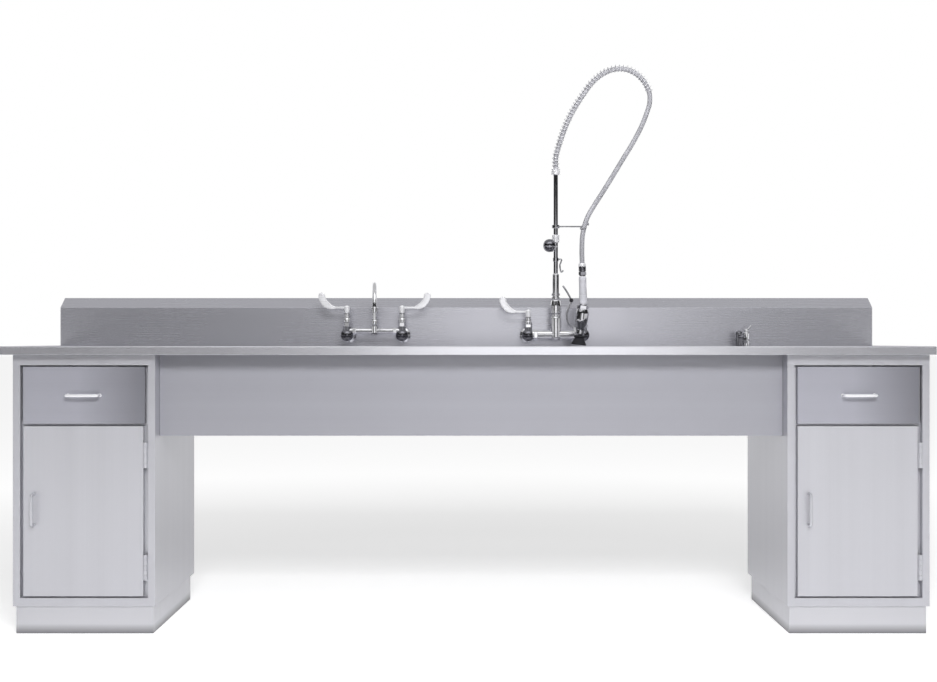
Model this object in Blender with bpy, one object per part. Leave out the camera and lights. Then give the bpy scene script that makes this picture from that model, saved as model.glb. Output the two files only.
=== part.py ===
"""Decontamination sink station.

A formed stainless counter with a splash and two bowls stands on two base cabinets,
each with a drawer over a hinged door. The splash carries a mixing faucet with a
swing spout and a pre-rinse spray on a sprung hose, and the deck carries a lever tap.
Metres, +Z up. The front faces -Y and the origin is on the floor below the counter's middle.
"""

import math

import bmesh
import bpy
from mathutils import Matrix, Vector
from mathutils.geometry import interpolate_bezier

# Fits
FIT = 0.0003
RUNNING_GAP = 0.0004
PIPE_PASSAGE = 0.001
CUT_MARGIN = 0.02
WELD = 0.000001

# Facets of round shapes
ROUND_SIDES = 20
SMALL_SIDES = 14
HINGE_SIDES = 10
CORNER_STEPS = 4
PIPE_RESOLUTION = 2
BEND_STEPS = 12
BULB_STEPS = 8
SMOOTH_ANGLE = math.radians(35)

# Counter
COUNTER_LENGTH = 3.048
COUNTER_DEPTH = 0.762
COUNTER_HEIGHT = 0.940
COUNTER_EDGE = 0.028
COUNTER_NOSE = 0.003
COUNTER_SHEET = 0.002
RIM_WIDTH = 0.024
RIM_RISE = 0.012

# Splash
SPLASH_SHEET = 0.002
SPLASH_FACE = 0.155
SPLASH_RETURN_RISE = 0.037
SPLASH_RETURN_DEPTH = 0.056
SPLASH_TOP = 0.006
SPLASH_REAR_FLANGE = 0.030

# Bowls
FRONT_LEDGE = 0.141
REAR_LEDGE = 0.119
BOWL_WIDTH = 0.610
BOWL_DIVIDER = 0.050
BOWL_DEPTH = 0.210
BOWL_CORNER = 0.045
BOWL_COVE = 0.020
BOWL_FALL = 0.004
BOWL_SHEET = 0.002
BOWL_FLANGE = 0.012

# Drains
DRAIN_RADIUS = 0.043
DRAIN_WALL = 0.003
DRAIN_LIP = 0.012
DRAIN_LIP_HEIGHT = 0.002
DRAIN_SEAT_MARGIN = 0.005
DRAIN_CUP = 0.032
DRAIN_TAIL_RADIUS = 0.0195
DRAIN_TAIL = 0.024

# Rails under the deck
RAIL_WIDTH = 0.056
RAIL_BRIM = 0.012
RAIL_SHEET = 0.002
RAIL_END_SETBACK = 0.012
RAIL_BOWL_GAP = 0.006

# Apron
APRON_DROP = 0.2685
APRON_DEPTH = 0.020
APRON_SHEET = 0.002

# Cabinets
CABINET_WIDTH = 0.465
CABINET_END_INSET = 0.027
CABINET_SHIFT = 0.017
CABINET_FACE_SETBACK = 0.038
CABINET_REAR_LEDGE = 0.010
CABINET_SHEET = 0.002
STILE_WIDTH = 0.024
FRAME_DEPTH = 0.025
TOP_RAIL = 0.034
BOTTOM_RAIL = 0.028
MIDDLE_RAIL = 0.024
MIDDLE_RAIL_DEPTH = 0.022
STOP_GAP = 0.0025

# Plinths
PLINTH_HEIGHT = 0.090
PLINTH_FRONT_SETBACK = 0.010
PLINTH_SIDE_SETBACK = 0.008
PLINTH_REAR_SETBACK = 0.030
PLINTH_SHEET = 0.003
PLINTH_FOOT = 0.022

# Shelves
SHELF_HEIGHT = 0.300
SHELF_THICKNESS = 0.018
SHELF_SHEET = 0.0015
SHELF_FRONT_SETBACK = 0.075
SHELF_REAR_GAP = 0.020
SHELF_LEDGE = 0.012

# Drawer fronts and doors
FRONT_THICKNESS = 0.019
FRONT_SHEET = 0.002
FRONT_NOSE = 0.0015
FRONT_GAP = 0.0045
FRONT_SIDE_GAP = 0.0095
FRONT_SPLIT = 0.007
DRAWER_FRONT_HEIGHT = 0.187
HINGE_GAP = 0.0145

# Drawer boxes and slides
DRAWER_BOX_LENGTH = 0.500
DRAWER_BOX_HEIGHT = 0.140
DRAWER_SHEET = 0.0015
SLIDE_REACH = 0.034
SLIDE_HEIGHT = 0.019
SLIDE_SHEET = 0.002
SLIDE_LENGTH = 0.535
RUNNER_REACH = 0.010

# Pulls
PULL_CENTRES = 0.1016
PULL_RADIUS = 0.005
PULL_PROJECTION = 0.031
PULL_BEND = 0.012
DOOR_PULL_DROP = 0.272
DOOR_PULL_INSET = 0.036

# Door hinges
HINGE_HEIGHT = 0.084
HINGE_INSET = 0.095
HINGE_BARREL = 0.006
HINGE_PIN = 0.003
HINGE_LEAF = 0.003
HINGE_LEAF_DEPTH = 0.018
HINGE_PROUD = 0.003
HINGE_KNUCKLES = 5
HINGE_KNUCKLE_GAP = 0.0005
HINGE_BORE_GAP = 0.0006
HINGE_TONGUE_INSET = 0.0008

# Faucet and pre-rinse bodies
TAP_CENTRES = 0.2032
TAP_REACH = 0.085
TAP_AXIS_RISE = 0.055
TAP_BULB_RADIUS = 0.023
TAP_BONNET_RADIUS = 0.0135
FAUCET_BONNET_TOP = 0.081
PRERINSE_BONNET_TOP = 0.066
TAP_STEM_RADIUS = 0.0105
TAP_TUBE_RADIUS = 0.010
TAP_TUBE_RISE = 0.015
TAP_ARM_RADIUS = 0.0125
TAP_FLANGE_RADIUS = 0.028
TAP_FLANGE_THICKNESS = 0.009
TAP_SHANK_RADIUS = 0.0105
TAP_SHANK_LENGTH = 0.045
FAUCET_SOCKET_RADIUS = 0.0135
FAUCET_SOCKET_TOP = 0.034
COLUMN_RADIUS = 0.020
COLUMN_TOP = 0.128
COLUMN_DROP = 0.019
BAR_RADIUS = 0.0165
BAR_RISE = 0.001
FAUCET_SHIFT = -0.009

# Wrist blade handles
HANDLE_HUB_RADIUS = 0.0105
HANDLE_HUB_HEIGHT = 0.027
HANDLE_ARM_RISE = 0.020
HANDLE_ARM_LENGTH = 0.044
HANDLE_ARM_HALF = 0.0035
HANDLE_BEND_RADIUS = 0.050
HANDLE_BEND_ANGLE = math.radians(82)
HANDLE_BLADE_HALF = 0.0125
HANDLE_THICKNESS = 0.007

# Swing spout
SPOUT_TUBE_RADIUS = 0.008
SPOUT_NUT_RADIUS = 0.0120
SPOUT_NUT_HEIGHT = 0.020
SPOUT_SPREAD = 0.190
SPOUT_BEND_RISE = 0.051
SPOUT_TIP_RADIUS = 0.0115
SPOUT_TIP_LENGTH = 0.022
SPOUT_TIP_BORE = 0.0085
SPOUT_TIP_BORE_DEPTH = 0.008
SPOUT_BEARING = math.radians(4)

# Pre-rinse riser
RISER_HEIGHT = 0.480
RISER_TUBE_RADIUS = 0.0085
RISER_SLEEVE_RADIUS = 0.013
RISER_SLEEVE_TOP = 0.096
RISER_RING_RADIUS = 0.0165
RISER_RING_HEIGHT = 0.007
RISER_TEE_RADIUS = 0.0140
RISER_TEE_BOTTOM = 0.208
RISER_TEE_TOP = 0.238
RISER_COLLAR_RADIUS = 0.0165
RISER_COLLAR_HEIGHT = 0.020
RISER_BOSS_RADIUS = 0.0085
RISER_BOSS_REACH = 0.016
RISER_BOSS_RISE = 0.1955
CLIP_RISE = 0.101
CLIP_HEIGHT = 0.045
CLIP_REACH = 0.028
CLIP_WIRE_RADIUS = 0.0022

# Vacuum breaker on the riser
BREAKER_RADIUS = 0.024
BREAKER_NECK_RADIUS = 0.0095
BREAKER_NECK_LENGTH = 0.004
BREAKER_BEARING = math.radians(234)

# Hose and its spring: points of the route, from the top of the riser
HOSE_RADIUS = 0.0087
HOSE_SPACING = 0.036
ROUTE_STEPS = 14
ROUTE = (
    (0.000, 0.000, 0.000),
    (0.000, 0.000, 0.020),
    (0.000, 0.000, 0.040),
    (0.009, -0.001, 0.077),
    (0.025, -0.003, 0.126),
    (0.045, -0.006, 0.176),
    (0.068, -0.010, 0.221),
    (0.102, -0.017, 0.274),
    (0.139, -0.025, 0.321),
    (0.184, -0.034, 0.352),
    (0.234, -0.043, 0.362),
    (0.279, -0.051, 0.349),
    (0.315, -0.058, 0.317),
    (0.336, -0.064, 0.273),
    (0.338, -0.068, 0.235),
    (0.328, -0.073, 0.199),
    (0.305, -0.079, 0.142),
    (0.273, -0.086, 0.082),
    (0.236, -0.094, 0.022),
    (0.199, -0.102, -0.039),
    (0.162, -0.111, -0.098),
    (0.130, -0.119, -0.148),
    (0.107, -0.132, -0.187),
    (0.094, -0.141, -0.223),
    (0.086, -0.147, -0.262),
    (0.084, -0.150, -0.311),
    (0.085, -0.150, -0.356),
)
SPRING_END_POINT = 13
HOOK_POINT = 23
SPRING_RADIUS = 0.0145
SPRING_WIRE = 0.0018
SPRING_CURLS = 46
SPRING_CURL_POINTS = 8

# Hose hook
HOOK_CLAMP_RADIUS = 0.0145
HOOK_CLAMP_HEIGHT = 0.012
HOOK_CLAMP_RISE = 0.010
HOOK_ROD_RADIUS = 0.0028
HOOK_RING_CLEARANCE = 0.005
HOOK_RING_OPEN = math.radians(50)

# Spray valve, hanging from the end of the hose
FERRULE_RADIUS = 0.0135
FERRULE_LENGTH = 0.046
GRIP_RADIUS = 0.0150
GRIP_WAIST_RADIUS = 0.0135
GRIP_LENGTH = 0.100
SPRAY_TILT = math.radians(8.2)
SPRAY_BODY_RADIUS = 0.0230
SPRAY_NECK_RADIUS = 0.0140
SPRAY_NECK_CROWN = 0.003
SPRAY_BODY_LENGTH = 0.112
NOZZLE_RING_RADIUS = 0.020
NOZZLE_RING_HEIGHT = 0.008
NOZZLE_BELL_RADIUS = 0.027
NOZZLE_BELL_HEIGHT = 0.026
NOZZLE_BORE = 0.018
NOZZLE_BORE_DEPTH = 0.010
LUG_DROP = 0.086
LUG_REACH = 0.029
LUG_ROOT = 0.012
LUG_WIDTH = 0.012
LUG_HEIGHT = 0.010
LEVER_HUB_RADIUS = 0.0045
LEVER_THICKNESS = 0.0034
LEVER_WIDTH = 0.015
LEVER_KNOB_RADIUS = 0.0062
LEVER_KNOB_POINT = 6
LEVER_LINE = (
    (0.000, 0.000),
    (-0.015, 0.012),
    (-0.025, 0.030),
    (-0.026, 0.050),
    (-0.021, 0.070),
    (-0.012, 0.088),
    (-0.009, 0.101),
    (-0.020, 0.126),
    (-0.037, 0.154),
)

# Deck tap
DECK_TAP_END_DISTANCE = 0.5005
DECK_TAP_SETBACK = 0.069
DECK_TAP_SPACING = 0.0266
DECK_TAP_PLATE_RADIUS = 0.017
DECK_TAP_PLATE_HEIGHT = 0.005
DECK_TAP_COLUMN_RADIUS = 0.012
DECK_TAP_COLUMN_TOP = 0.062
DECK_TAP_SPOUT_TOP = 0.066
DECK_TAP_SPOUT_RISE = 0.045
DECK_TAP_SPOUT_REACH = 0.105
DECK_TAP_SPOUT_DROP = 0.024
DECK_TAP_SPOUT_BEND = 0.012
DECK_TAP_SPOUT_RADIUS = 0.0065
DECK_TAP_HUB_RADIUS = 0.009
DECK_TAP_HUB_HEIGHT = 0.012
DECK_TAP_LEVER_REACH = 0.017
DECK_TAP_LEVER_RISE = 0.021
DECK_TAP_LEVER_RADIUS = 0.0038

# Levels and planes worked out from the sizes above
DECK = COUNTER_HEIGHT - RIM_RISE
DECK_UNDERSIDE = DECK - COUNTER_SHEET
EDGE_BOTTOM = COUNTER_HEIGHT - COUNTER_EDGE
HALF_LENGTH = COUNTER_LENGTH / 2
FRONT = -COUNTER_DEPTH / 2
REAR = COUNTER_DEPTH / 2
SPLASH_PLANE = REAR - SPLASH_TOP - SPLASH_RETURN_DEPTH
BOWL_FRONT = FRONT + FRONT_LEDGE
BOWL_REAR = SPLASH_PLANE - REAR_LEDGE
BOWL_LENGTH = BOWL_REAR - BOWL_FRONT
BOWL_MIDDLE = (BOWL_FRONT + BOWL_REAR) / 2
BOWL_OFFSET = (BOWL_WIDTH + BOWL_DIVIDER) / 2
FAUCET_X = FAUCET_SHIFT - BOWL_OFFSET
BOWL_FLOOR = DECK - BOWL_DEPTH
BOWL_SEAT = BOWL_FLOOR - BOWL_FALL
BOWL_HOLE = DRAIN_RADIUS + PIPE_PASSAGE
APRON_REAR = BOWL_FRONT - BOWL_SHEET - BOWL_FLANGE - RAIL_BOWL_GAP
APRON_FRONT = APRON_REAR - APRON_DEPTH
FRONT_RAIL_REAR = APRON_REAR
REAR_RAIL_FRONT = BOWL_REAR + BOWL_SHEET + BOWL_FLANGE + RAIL_BOWL_GAP
CABINET_FACE = FRONT + CABINET_FACE_SETBACK
CABINET_DEPTH = REAR_RAIL_FRONT + RAIL_WIDTH + CABINET_REAR_LEDGE - CABINET_FACE
CABINET_OFFSET = HALF_LENGTH - CABINET_END_INSET - CABINET_WIDTH / 2
CABINET_TOP = EDGE_BOTTOM - FIT
CABINET_BOTTOM = PLINTH_HEIGHT + FIT
CABINET_HALF = CABINET_WIDTH / 2
KNEE_HALF = CABINET_OFFSET - CABINET_HALF
OPENING_HALF = CABINET_HALF - STILE_WIDTH
OPENING_TOP = CABINET_TOP - TOP_RAIL
OPENING_BOTTOM = CABINET_BOTTOM + BOTTOM_RAIL
DRAWER_TOP = OPENING_TOP - FRONT_GAP
DRAWER_BOTTOM = DRAWER_TOP - DRAWER_FRONT_HEIGHT
DRAWER_MIDDLE = (DRAWER_TOP + DRAWER_BOTTOM) / 2
DOOR_TOP = DRAWER_BOTTOM - FRONT_SPLIT
DOOR_BOTTOM = OPENING_BOTTOM + FRONT_GAP
DOOR_LEFT = -OPENING_HALF + FRONT_SIDE_GAP
DOOR_RIGHT = OPENING_HALF - HINGE_GAP
HINGE_AXIS = OPENING_HALF - HINGE_GAP / 2
WALL_INSIDE = CABINET_HALF - CABINET_SHEET
SLIDE_INSIDE = WALL_INSIDE - FIT - SLIDE_REACH
DRAWER_BOX_HALF = SLIDE_INSIDE - RUNNING_GAP * 2
TAP_Y = SPLASH_PLANE - TAP_REACH
TAP_Z = DECK + TAP_AXIS_RISE
RISER_BASE = TAP_Z + COLUMN_TOP + FIT
RISER_TOP = Vector((BOWL_OFFSET, TAP_Y, RISER_BASE + RISER_HEIGHT))


def along_x(a, b, height):
    """An outline drawn in Y and Z, pushed along X."""
    return (height, a, b)


def along_y(a, b, height):
    """An outline drawn in X and Z, pushed along Y."""
    return (a, height, b)


def along_z(a, b, height):
    """An outline drawn in X and Y, pushed along Z."""
    return (a, b, height)


def clear_scene():
    """Removes what the scene holds at the start."""
    for obj in list(bpy.data.objects):
        bpy.data.objects.remove(obj, do_unlink=True)


def finish(name, colour, roughness, metallic):
    """A plain Principled material."""
    material = bpy.data.materials.new(name)
    material.use_nodes = True
    shader = material.node_tree.nodes["Principled BSDF"]
    shader.inputs["Base Color"].default_value = (*colour, 1.0)
    shader.inputs["Roughness"].default_value = roughness
    shader.inputs["Metallic"].default_value = metallic
    material.diffuse_color = (*colour, 1.0)
    return material


def mesh_of(bm):
    """The welded mesh of a bmesh, with its faces pointing out."""
    bmesh.ops.remove_doubles(bm, verts=bm.verts, dist=WELD)
    bmesh.ops.recalc_face_normals(bm, faces=bm.faces)
    mesh = bpy.data.meshes.new("shape")
    bm.to_mesh(mesh)
    bm.free()
    return mesh


def block(low, high, nose=0.0, where=None):
    """A box between two corners, with its edges eased where the test of a point holds."""
    low = Vector(low)
    high = Vector(high)
    frame = Matrix.Translation((low + high) / 2) @ Matrix.Diagonal((*(high - low), 1.0))
    bm = bmesh.new()
    bmesh.ops.create_cube(bm, size=1.0, matrix=frame)
    if nose:
        eased = [e for e in bm.edges if where is None or all(where(v.co) for v in e.verts)]
        bmesh.ops.bevel(bm, geom=eased, offset=nose, segments=2, profile=0.5, affect="EDGES")
    return mesh_of(bm)


def extruded(outline, start, end, axis):
    """A flat outline pushed from start to end along an axis."""
    bm = bmesh.new()
    face = bm.faces.new([bm.verts.new(axis(a, b, start)) for a, b in outline])
    pushed = bmesh.ops.extrude_face_region(bm, geom=[face])["geom"]
    step = Vector(axis(0.0, 0.0, end - start))
    moving = [item for item in pushed if isinstance(item, bmesh.types.BMVert)]
    bmesh.ops.translate(bm, vec=step, verts=moving)
    return mesh_of(bm)


def turned(profile, sides=ROUND_SIDES, ring=False):
    """A profile of (radius, height) points spun round Z; a ring's profile closes on itself."""
    bm = bmesh.new()
    verts = [bm.verts.new((radius, 0.0, height)) for radius, height in profile]
    pairs = list(zip(verts, verts[1:]))
    if ring:
        pairs.append((verts[-1], verts[0]))
    edges = [bm.edges.new(pair) for pair in pairs]
    bmesh.ops.spin(
        bm,
        geom=verts + edges,
        cent=(0.0, 0.0, 0.0),
        axis=(0.0, 0.0, 1.0),
        angle=math.tau,
        steps=sides,
        use_merge=True,
        use_duplicate=False,
    )
    return mesh_of(bm)


def lofted(loops):
    """A closed skin through loops of as many points each, the last joined to the first."""
    bm = bmesh.new()
    rings = [[bm.verts.new(point) for point in loop] for loop in loops]
    for ring, following in zip(rings, rings[1:] + rings[:1]):
        for index, vert in enumerate(ring):
            after = (index + 1) % len(ring)
            bm.faces.new((vert, ring[after], following[after], following[index]))
    return mesh_of(bm)


def tube_curve(points, radius, resolution):
    """A round tube along points, with filled ends."""
    curve = bpy.data.curves.new("tube", "CURVE")
    curve.dimensions = "3D"
    curve.bevel_depth = radius
    curve.bevel_resolution = resolution
    curve.use_fill_caps = True
    spline = curve.splines.new("POLY")
    spline.points.add(len(points) - 1)
    for point, place in zip(spline.points, points):
        point.co = (*place, 1.0)
    return curve


def evaluated_mesh(obj):
    """The mesh of an object with its modifiers applied."""
    bpy.context.view_layer.update()
    graph = bpy.context.evaluated_depsgraph_get()
    return bpy.data.meshes.new_from_object(obj.evaluated_get(graph))


def pipe(points, radius, resolution=PIPE_RESOLUTION):
    """The mesh of a round tube along points."""
    holder = bpy.data.objects.new("pipe", tube_curve(points, radius, resolution))
    bpy.context.scene.collection.objects.link(holder)
    bm = bmesh.new()
    bm.from_mesh(evaluated_mesh(holder))
    bpy.data.objects.remove(holder, do_unlink=True)
    return mesh_of(bm)


def combined(base, others, operation):
    """The base mesh after each other mesh is joined to it or cut from it."""
    holder = bpy.data.objects.new("base", base)
    helpers = [bpy.data.objects.new("helper", other) for other in others]
    for obj in (holder, *helpers):
        bpy.context.scene.collection.objects.link(obj)
    for helper in helpers:
        modifier = holder.modifiers.new(operation.lower(), "BOOLEAN")
        modifier.operation = operation
        modifier.solver = "EXACT"
        modifier.object = helper
    result = evaluated_mesh(holder)
    for obj in (holder, *helpers):
        bpy.data.objects.remove(obj, do_unlink=True)
    return result


def joined(base, *others):
    """One body of several that overlap."""
    return combined(base, others, "UNION")


def cut(base, *others):
    """The base with the others taken out."""
    return combined(base, others, "DIFFERENCE")


def moved(mesh, offset=(0.0, 0.0, 0.0), toward=None):
    """The mesh turned so that its Z points toward a direction, then shifted."""
    turn = Matrix.Identity(4)
    if toward is not None:
        turn = Vector((0.0, 0.0, 1.0)).rotation_difference(Vector(toward)).to_matrix().to_4x4()
    mesh.transform(Matrix.Translation(offset) @ turn)
    return mesh


def place(name, data, material, parent=None, location=(0.0, 0.0, 0.0)):
    """A named sub-part with its finish."""
    obj = bpy.data.objects.new(name, data)
    bpy.context.scene.collection.objects.link(obj)
    obj.parent = parent
    obj.location = location
    if not data.materials:
        data.materials.append(material)
    if obj.type == "MESH":
        data.shade_smooth()
        data.set_sharp_from_angle(angle=SMOOTH_ANGLE)
    return obj


def pivot(name, location, parent=None, rotation=(0.0, 0.0, 0.0)):
    """An empty on a joint's axis, or at the root of a group."""
    empty = bpy.data.objects.new(name, None)
    bpy.context.scene.collection.objects.link(empty)
    empty.parent = parent
    empty.location = location
    empty.rotation_euler = rotation
    return empty


def rounded_rectangle(width, length, radius, middle=(0.0, 0.0)):
    """Points round a rectangle with round corners, from its right side on."""
    points = []
    for corner, (side, end) in enumerate(((1, 1), (-1, 1), (-1, -1), (1, -1))):
        centre_x = middle[0] + side * (width / 2 - radius)
        centre_y = middle[1] + end * (length / 2 - radius)
        for step in range(CORNER_STEPS + 1):
            angle = (corner + step / CORNER_STEPS) * math.pi / 2
            points.append((centre_x + radius * math.cos(angle), centre_y + radius * math.sin(angle)))
    return points


def matching_circle(radius, middle):
    """A circle with as many points as a rounded rectangle, in the same order."""
    count = 4 * (CORNER_STEPS + 1)
    angles = [math.tau * (index + 0.5) / count for index in range(count)]
    return [(middle[0] + radius * math.cos(a), middle[1] + radius * math.sin(a)) for a in angles]


def arc(centre, radius, start, end, steps):
    """Points of an arc in a plane, both ends included."""
    angles = [start + (end - start) * step / steps for step in range(steps + 1)]
    return [(centre[0] + radius * math.cos(a), centre[1] + radius * math.sin(a)) for a in angles]


def pan(low, high, wall, open_side):
    """A box with thin walls, open on one side given as a unit step."""
    low = Vector(low)
    high = Vector(high)
    inner_low = low + Vector((wall, wall, wall))
    inner_high = high - Vector((wall, wall, wall))
    for index, step in enumerate(open_side):
        if step < 0:
            inner_low[index] = low[index] - CUT_MARGIN
        if step > 0:
            inner_high[index] = high[index] + CUT_MARGIN
    return cut(block(low, high), block(inner_low, inner_high))


def smooth_route():
    """Close points on a smooth curve through the route, and the index where each route point falls."""
    route = [RISER_TOP + Vector(offset) + Vector((0.0, 0.0, FIT)) for offset in ROUTE]
    line = [route[0]]
    marks = [0]
    for index in range(len(route) - 1):
        before = route[max(index - 1, 0)]
        start = route[index]
        end = route[index + 1]
        after = route[min(index + 2, len(route) - 1)]
        reach = (end - start).length / 3
        leave = (end - before).normalized() * reach if index else Vector((0.0, 0.0, reach))
        arrive = (after - start).normalized() * reach
        line += interpolate_bezier(start, start + leave, end - arrive, end, ROUTE_STEPS)[1:]
        marks.append(len(line) - 1)
    return line, marks


def distances(line):
    """The length of a line up to each of its points."""
    total = [0.0]
    for start, end in zip(line, line[1:]):
        total.append(total[-1] + (end - start).length)
    return total


def spaced(line, spacing):
    """Points evenly spaced along a line, both ends included."""
    total = distances(line)
    count = max(1, round(total[-1] / spacing))
    points = []
    index = 0
    for step in range(count + 1):
        target = total[-1] * step / count
        while index < len(line) - 2 and total[index + 1] < target:
            index += 1
        share = (target - total[index]) / (total[index + 1] - total[index])
        points.append(line[index].lerp(line[index + 1], min(1.0, share)))
    return points


def build_counter(steel):
    """The deck with its raised rim, turned-down edges and two bowl cut-outs."""
    top = (HALF_LENGTH, REAR, COUNTER_HEIGHT)
    slab = block((-HALF_LENGTH, FRONT, EDGE_BOTTOM), top, COUNTER_NOSE, lambda p: p.z > DECK)
    rim_end = HALF_LENGTH - RIM_WIDTH
    above = COUNTER_HEIGHT + CUT_MARGIN
    recess = block((-rim_end, FRONT + RIM_WIDTH, DECK), (rim_end, REAR + CUT_MARGIN, above))
    past_end = HALF_LENGTH + CUT_MARGIN
    seat = block((-past_end, SPLASH_PLANE - FIT, DECK), (past_end, REAR + CUT_MARGIN, above))
    sheet_end = HALF_LENGTH - COUNTER_SHEET
    sheet_front = FRONT + COUNTER_SHEET
    below = EDGE_BOTTOM - CUT_MARGIN
    hollow = block((-sheet_end, sheet_front, below), (sheet_end, REAR - COUNTER_SHEET, DECK_UNDERSIDE))
    rim_hollow = cut(
        block(
            (-sheet_end, sheet_front, below),
            (sheet_end, SPLASH_PLANE - FIT - COUNTER_SHEET, COUNTER_HEIGHT - COUNTER_SHEET),
        ),
        block(
            (-rim_end - COUNTER_SHEET, FRONT + RIM_WIDTH - COUNTER_SHEET, below - CUT_MARGIN),
            (rim_end + COUNTER_SHEET, REAR + CUT_MARGIN, above),
        ),
    )
    outside = 2 * (BOWL_SHEET + FIT)
    holes = []
    for side in (-1, 1):
        outline = rounded_rectangle(
            BOWL_WIDTH + outside,
            BOWL_LENGTH + outside,
            BOWL_CORNER + outside / 2,
            (side * BOWL_OFFSET, BOWL_MIDDLE),
        )
        holes.append(extruded(outline, below, above, along_z))
    place("countertop", cut(slab, recess, seat, hollow, rim_hollow, *holes), steel)


def build_splash(steel):
    """The splash sheet with its sloped return, rear flange, closed ends and holes for the supplies."""
    bottom = DECK + FIT
    bend = DECK + SPLASH_FACE
    top = bend + SPLASH_RETURN_RISE
    ridge = REAR - SPLASH_TOP
    slope = SPLASH_RETURN_RISE / SPLASH_RETURN_DEPTH
    drop = SPLASH_SHEET * (math.hypot(1.0, slope) - slope)
    outer = [(SPLASH_PLANE, bottom), (REAR, bottom), (REAR, top), (ridge, top), (SPLASH_PLANE, bend)]
    flange = top - SPLASH_REAR_FLANGE
    inner = [
        (SPLASH_PLANE + SPLASH_SHEET, bottom - CUT_MARGIN),
        (REAR + CUT_MARGIN, bottom - CUT_MARGIN),
        (REAR + CUT_MARGIN, flange),
        (REAR - SPLASH_SHEET, flange),
        (REAR - SPLASH_SHEET, top - SPLASH_SHEET),
        (ridge, top - SPLASH_SHEET),
        (SPLASH_PLANE + SPLASH_SHEET, bend - drop),
    ]
    shell = extruded(outer, -HALF_LENGTH, HALF_LENGTH, along_x)
    room = extruded(inner, SPLASH_SHEET - HALF_LENGTH, HALF_LENGTH - SPLASH_SHEET, along_x)
    holes = []
    radius = TAP_SHANK_RADIUS + PIPE_PASSAGE
    for x in (FAUCET_X, BOWL_OFFSET):
        for side in (-1, 1):
            hole = turned([(0.0, 0.0), (radius, 0.0), (radius, TAP_REACH), (0.0, TAP_REACH)], SMALL_SIDES)
            start = (x + side * TAP_CENTRES / 2, SPLASH_PLANE - TAP_REACH / 2, TAP_Z)
            holes.append(moved(hole, start, (0.0, 1.0, 0.0)))
    place("backsplash", cut(shell, room, *holes), steel)


def bowl_loop(x, inset, height):
    """A loop round the bowl, drawn in from its inner wall."""
    radius = max(BOWL_CORNER - inset, BOWL_SHEET)
    outline = rounded_rectangle(
        BOWL_WIDTH - 2 * inset, BOWL_LENGTH - 2 * inset, radius, (x, BOWL_MIDDLE)
    )
    return [(a, b, height) for a, b in outline]


def bowl_circle(x, radius, height):
    """A loop round the drain in the bowl's floor."""
    return [(a, b, height) for a, b in matching_circle(radius, (x, BOWL_MIDDLE))]


def build_bowl(name, x, steel):
    """A bowl with a coved floor that falls to its drain, hung by a flange under the deck."""
    cove_centre = BOWL_FLOOR + BOWL_COVE
    diagonal = math.sin(math.pi / 4)
    outer_cove = BOWL_COVE + BOWL_SHEET
    seat_radius = DRAIN_RADIUS + DRAIN_LIP + DRAIN_SEAT_MARGIN
    flange_top = DECK_UNDERSIDE - FIT
    flange_bottom = flange_top - BOWL_SHEET
    outer = -BOWL_SHEET
    flange_edge = outer - BOWL_FLANGE
    loops = [
        bowl_loop(x, 0.0, DECK),
        bowl_loop(x, 0.0, cove_centre),
        bowl_loop(x, BOWL_COVE * (1 - diagonal), cove_centre - BOWL_COVE * diagonal),
        bowl_loop(x, BOWL_COVE, BOWL_FLOOR),
        bowl_circle(x, seat_radius, BOWL_SEAT),
        bowl_circle(x, BOWL_HOLE, BOWL_SEAT),
        bowl_circle(x, BOWL_HOLE, BOWL_SEAT - BOWL_SHEET),
        bowl_circle(x, seat_radius, BOWL_SEAT - BOWL_SHEET),
        bowl_loop(x, BOWL_COVE, BOWL_FLOOR - BOWL_SHEET),
        bowl_loop(x, BOWL_COVE - outer_cove * diagonal, cove_centre - outer_cove * diagonal),
        bowl_loop(x, outer, cove_centre),
        bowl_loop(x, outer, flange_bottom),
        bowl_loop(x, flange_edge, flange_bottom),
        bowl_loop(x, flange_edge, flange_top),
        bowl_loop(x, outer, flange_top),
        bowl_loop(x, outer, DECK),
    ]
    place(name, lofted(loops), steel)


def build_drain(name, x, chrome):
    """A drain cup with a lip on the bowl's floor and a tailpiece below."""
    bore = DRAIN_RADIUS - DRAIN_WALL
    tail_bore = DRAIN_TAIL_RADIUS - DRAIN_WALL
    tail_end = -DRAIN_CUP - DRAIN_TAIL
    profile = [
        (DRAIN_RADIUS, 0.0),
        (DRAIN_RADIUS + DRAIN_LIP, 0.0),
        (DRAIN_RADIUS + DRAIN_LIP - DRAIN_LIP_HEIGHT, DRAIN_LIP_HEIGHT),
        (bore, DRAIN_LIP_HEIGHT),
        (bore, DRAIN_WALL - DRAIN_CUP),
        (tail_bore, DRAIN_WALL - DRAIN_CUP),
        (tail_bore, tail_end),
        (DRAIN_TAIL_RADIUS, tail_end),
        (DRAIN_TAIL_RADIUS, -DRAIN_CUP),
        (DRAIN_RADIUS, -DRAIN_CUP),
    ]
    place(name, turned(profile, ring=True), chrome, location=(x, BOWL_MIDDLE, BOWL_SEAT + FIT))


def build_rail(name, front, steel):
    """A hat-section rail on the cabinet tops that carries the deck."""
    rear = front + RAIL_WIDTH
    bottom = EDGE_BOTTOM
    top = DECK_UNDERSIDE - FIT
    left = front + RAIL_BRIM
    right = rear - RAIL_BRIM
    outline = [
        (front, bottom),
        (left + RAIL_SHEET, bottom),
        (left + RAIL_SHEET, top - RAIL_SHEET),
        (right - RAIL_SHEET, top - RAIL_SHEET),
        (right - RAIL_SHEET, bottom),
        (rear, bottom),
        (rear, bottom + RAIL_SHEET),
        (right, bottom + RAIL_SHEET),
        (right, top),
        (left, top),
        (left, bottom + RAIL_SHEET),
        (front, bottom + RAIL_SHEET),
    ]
    end = CABINET_OFFSET + CABINET_HALF - RAIL_END_SETBACK
    place(name, extruded(outline, CABINET_SHIFT - end, CABINET_SHIFT + end, along_x), steel)


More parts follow.
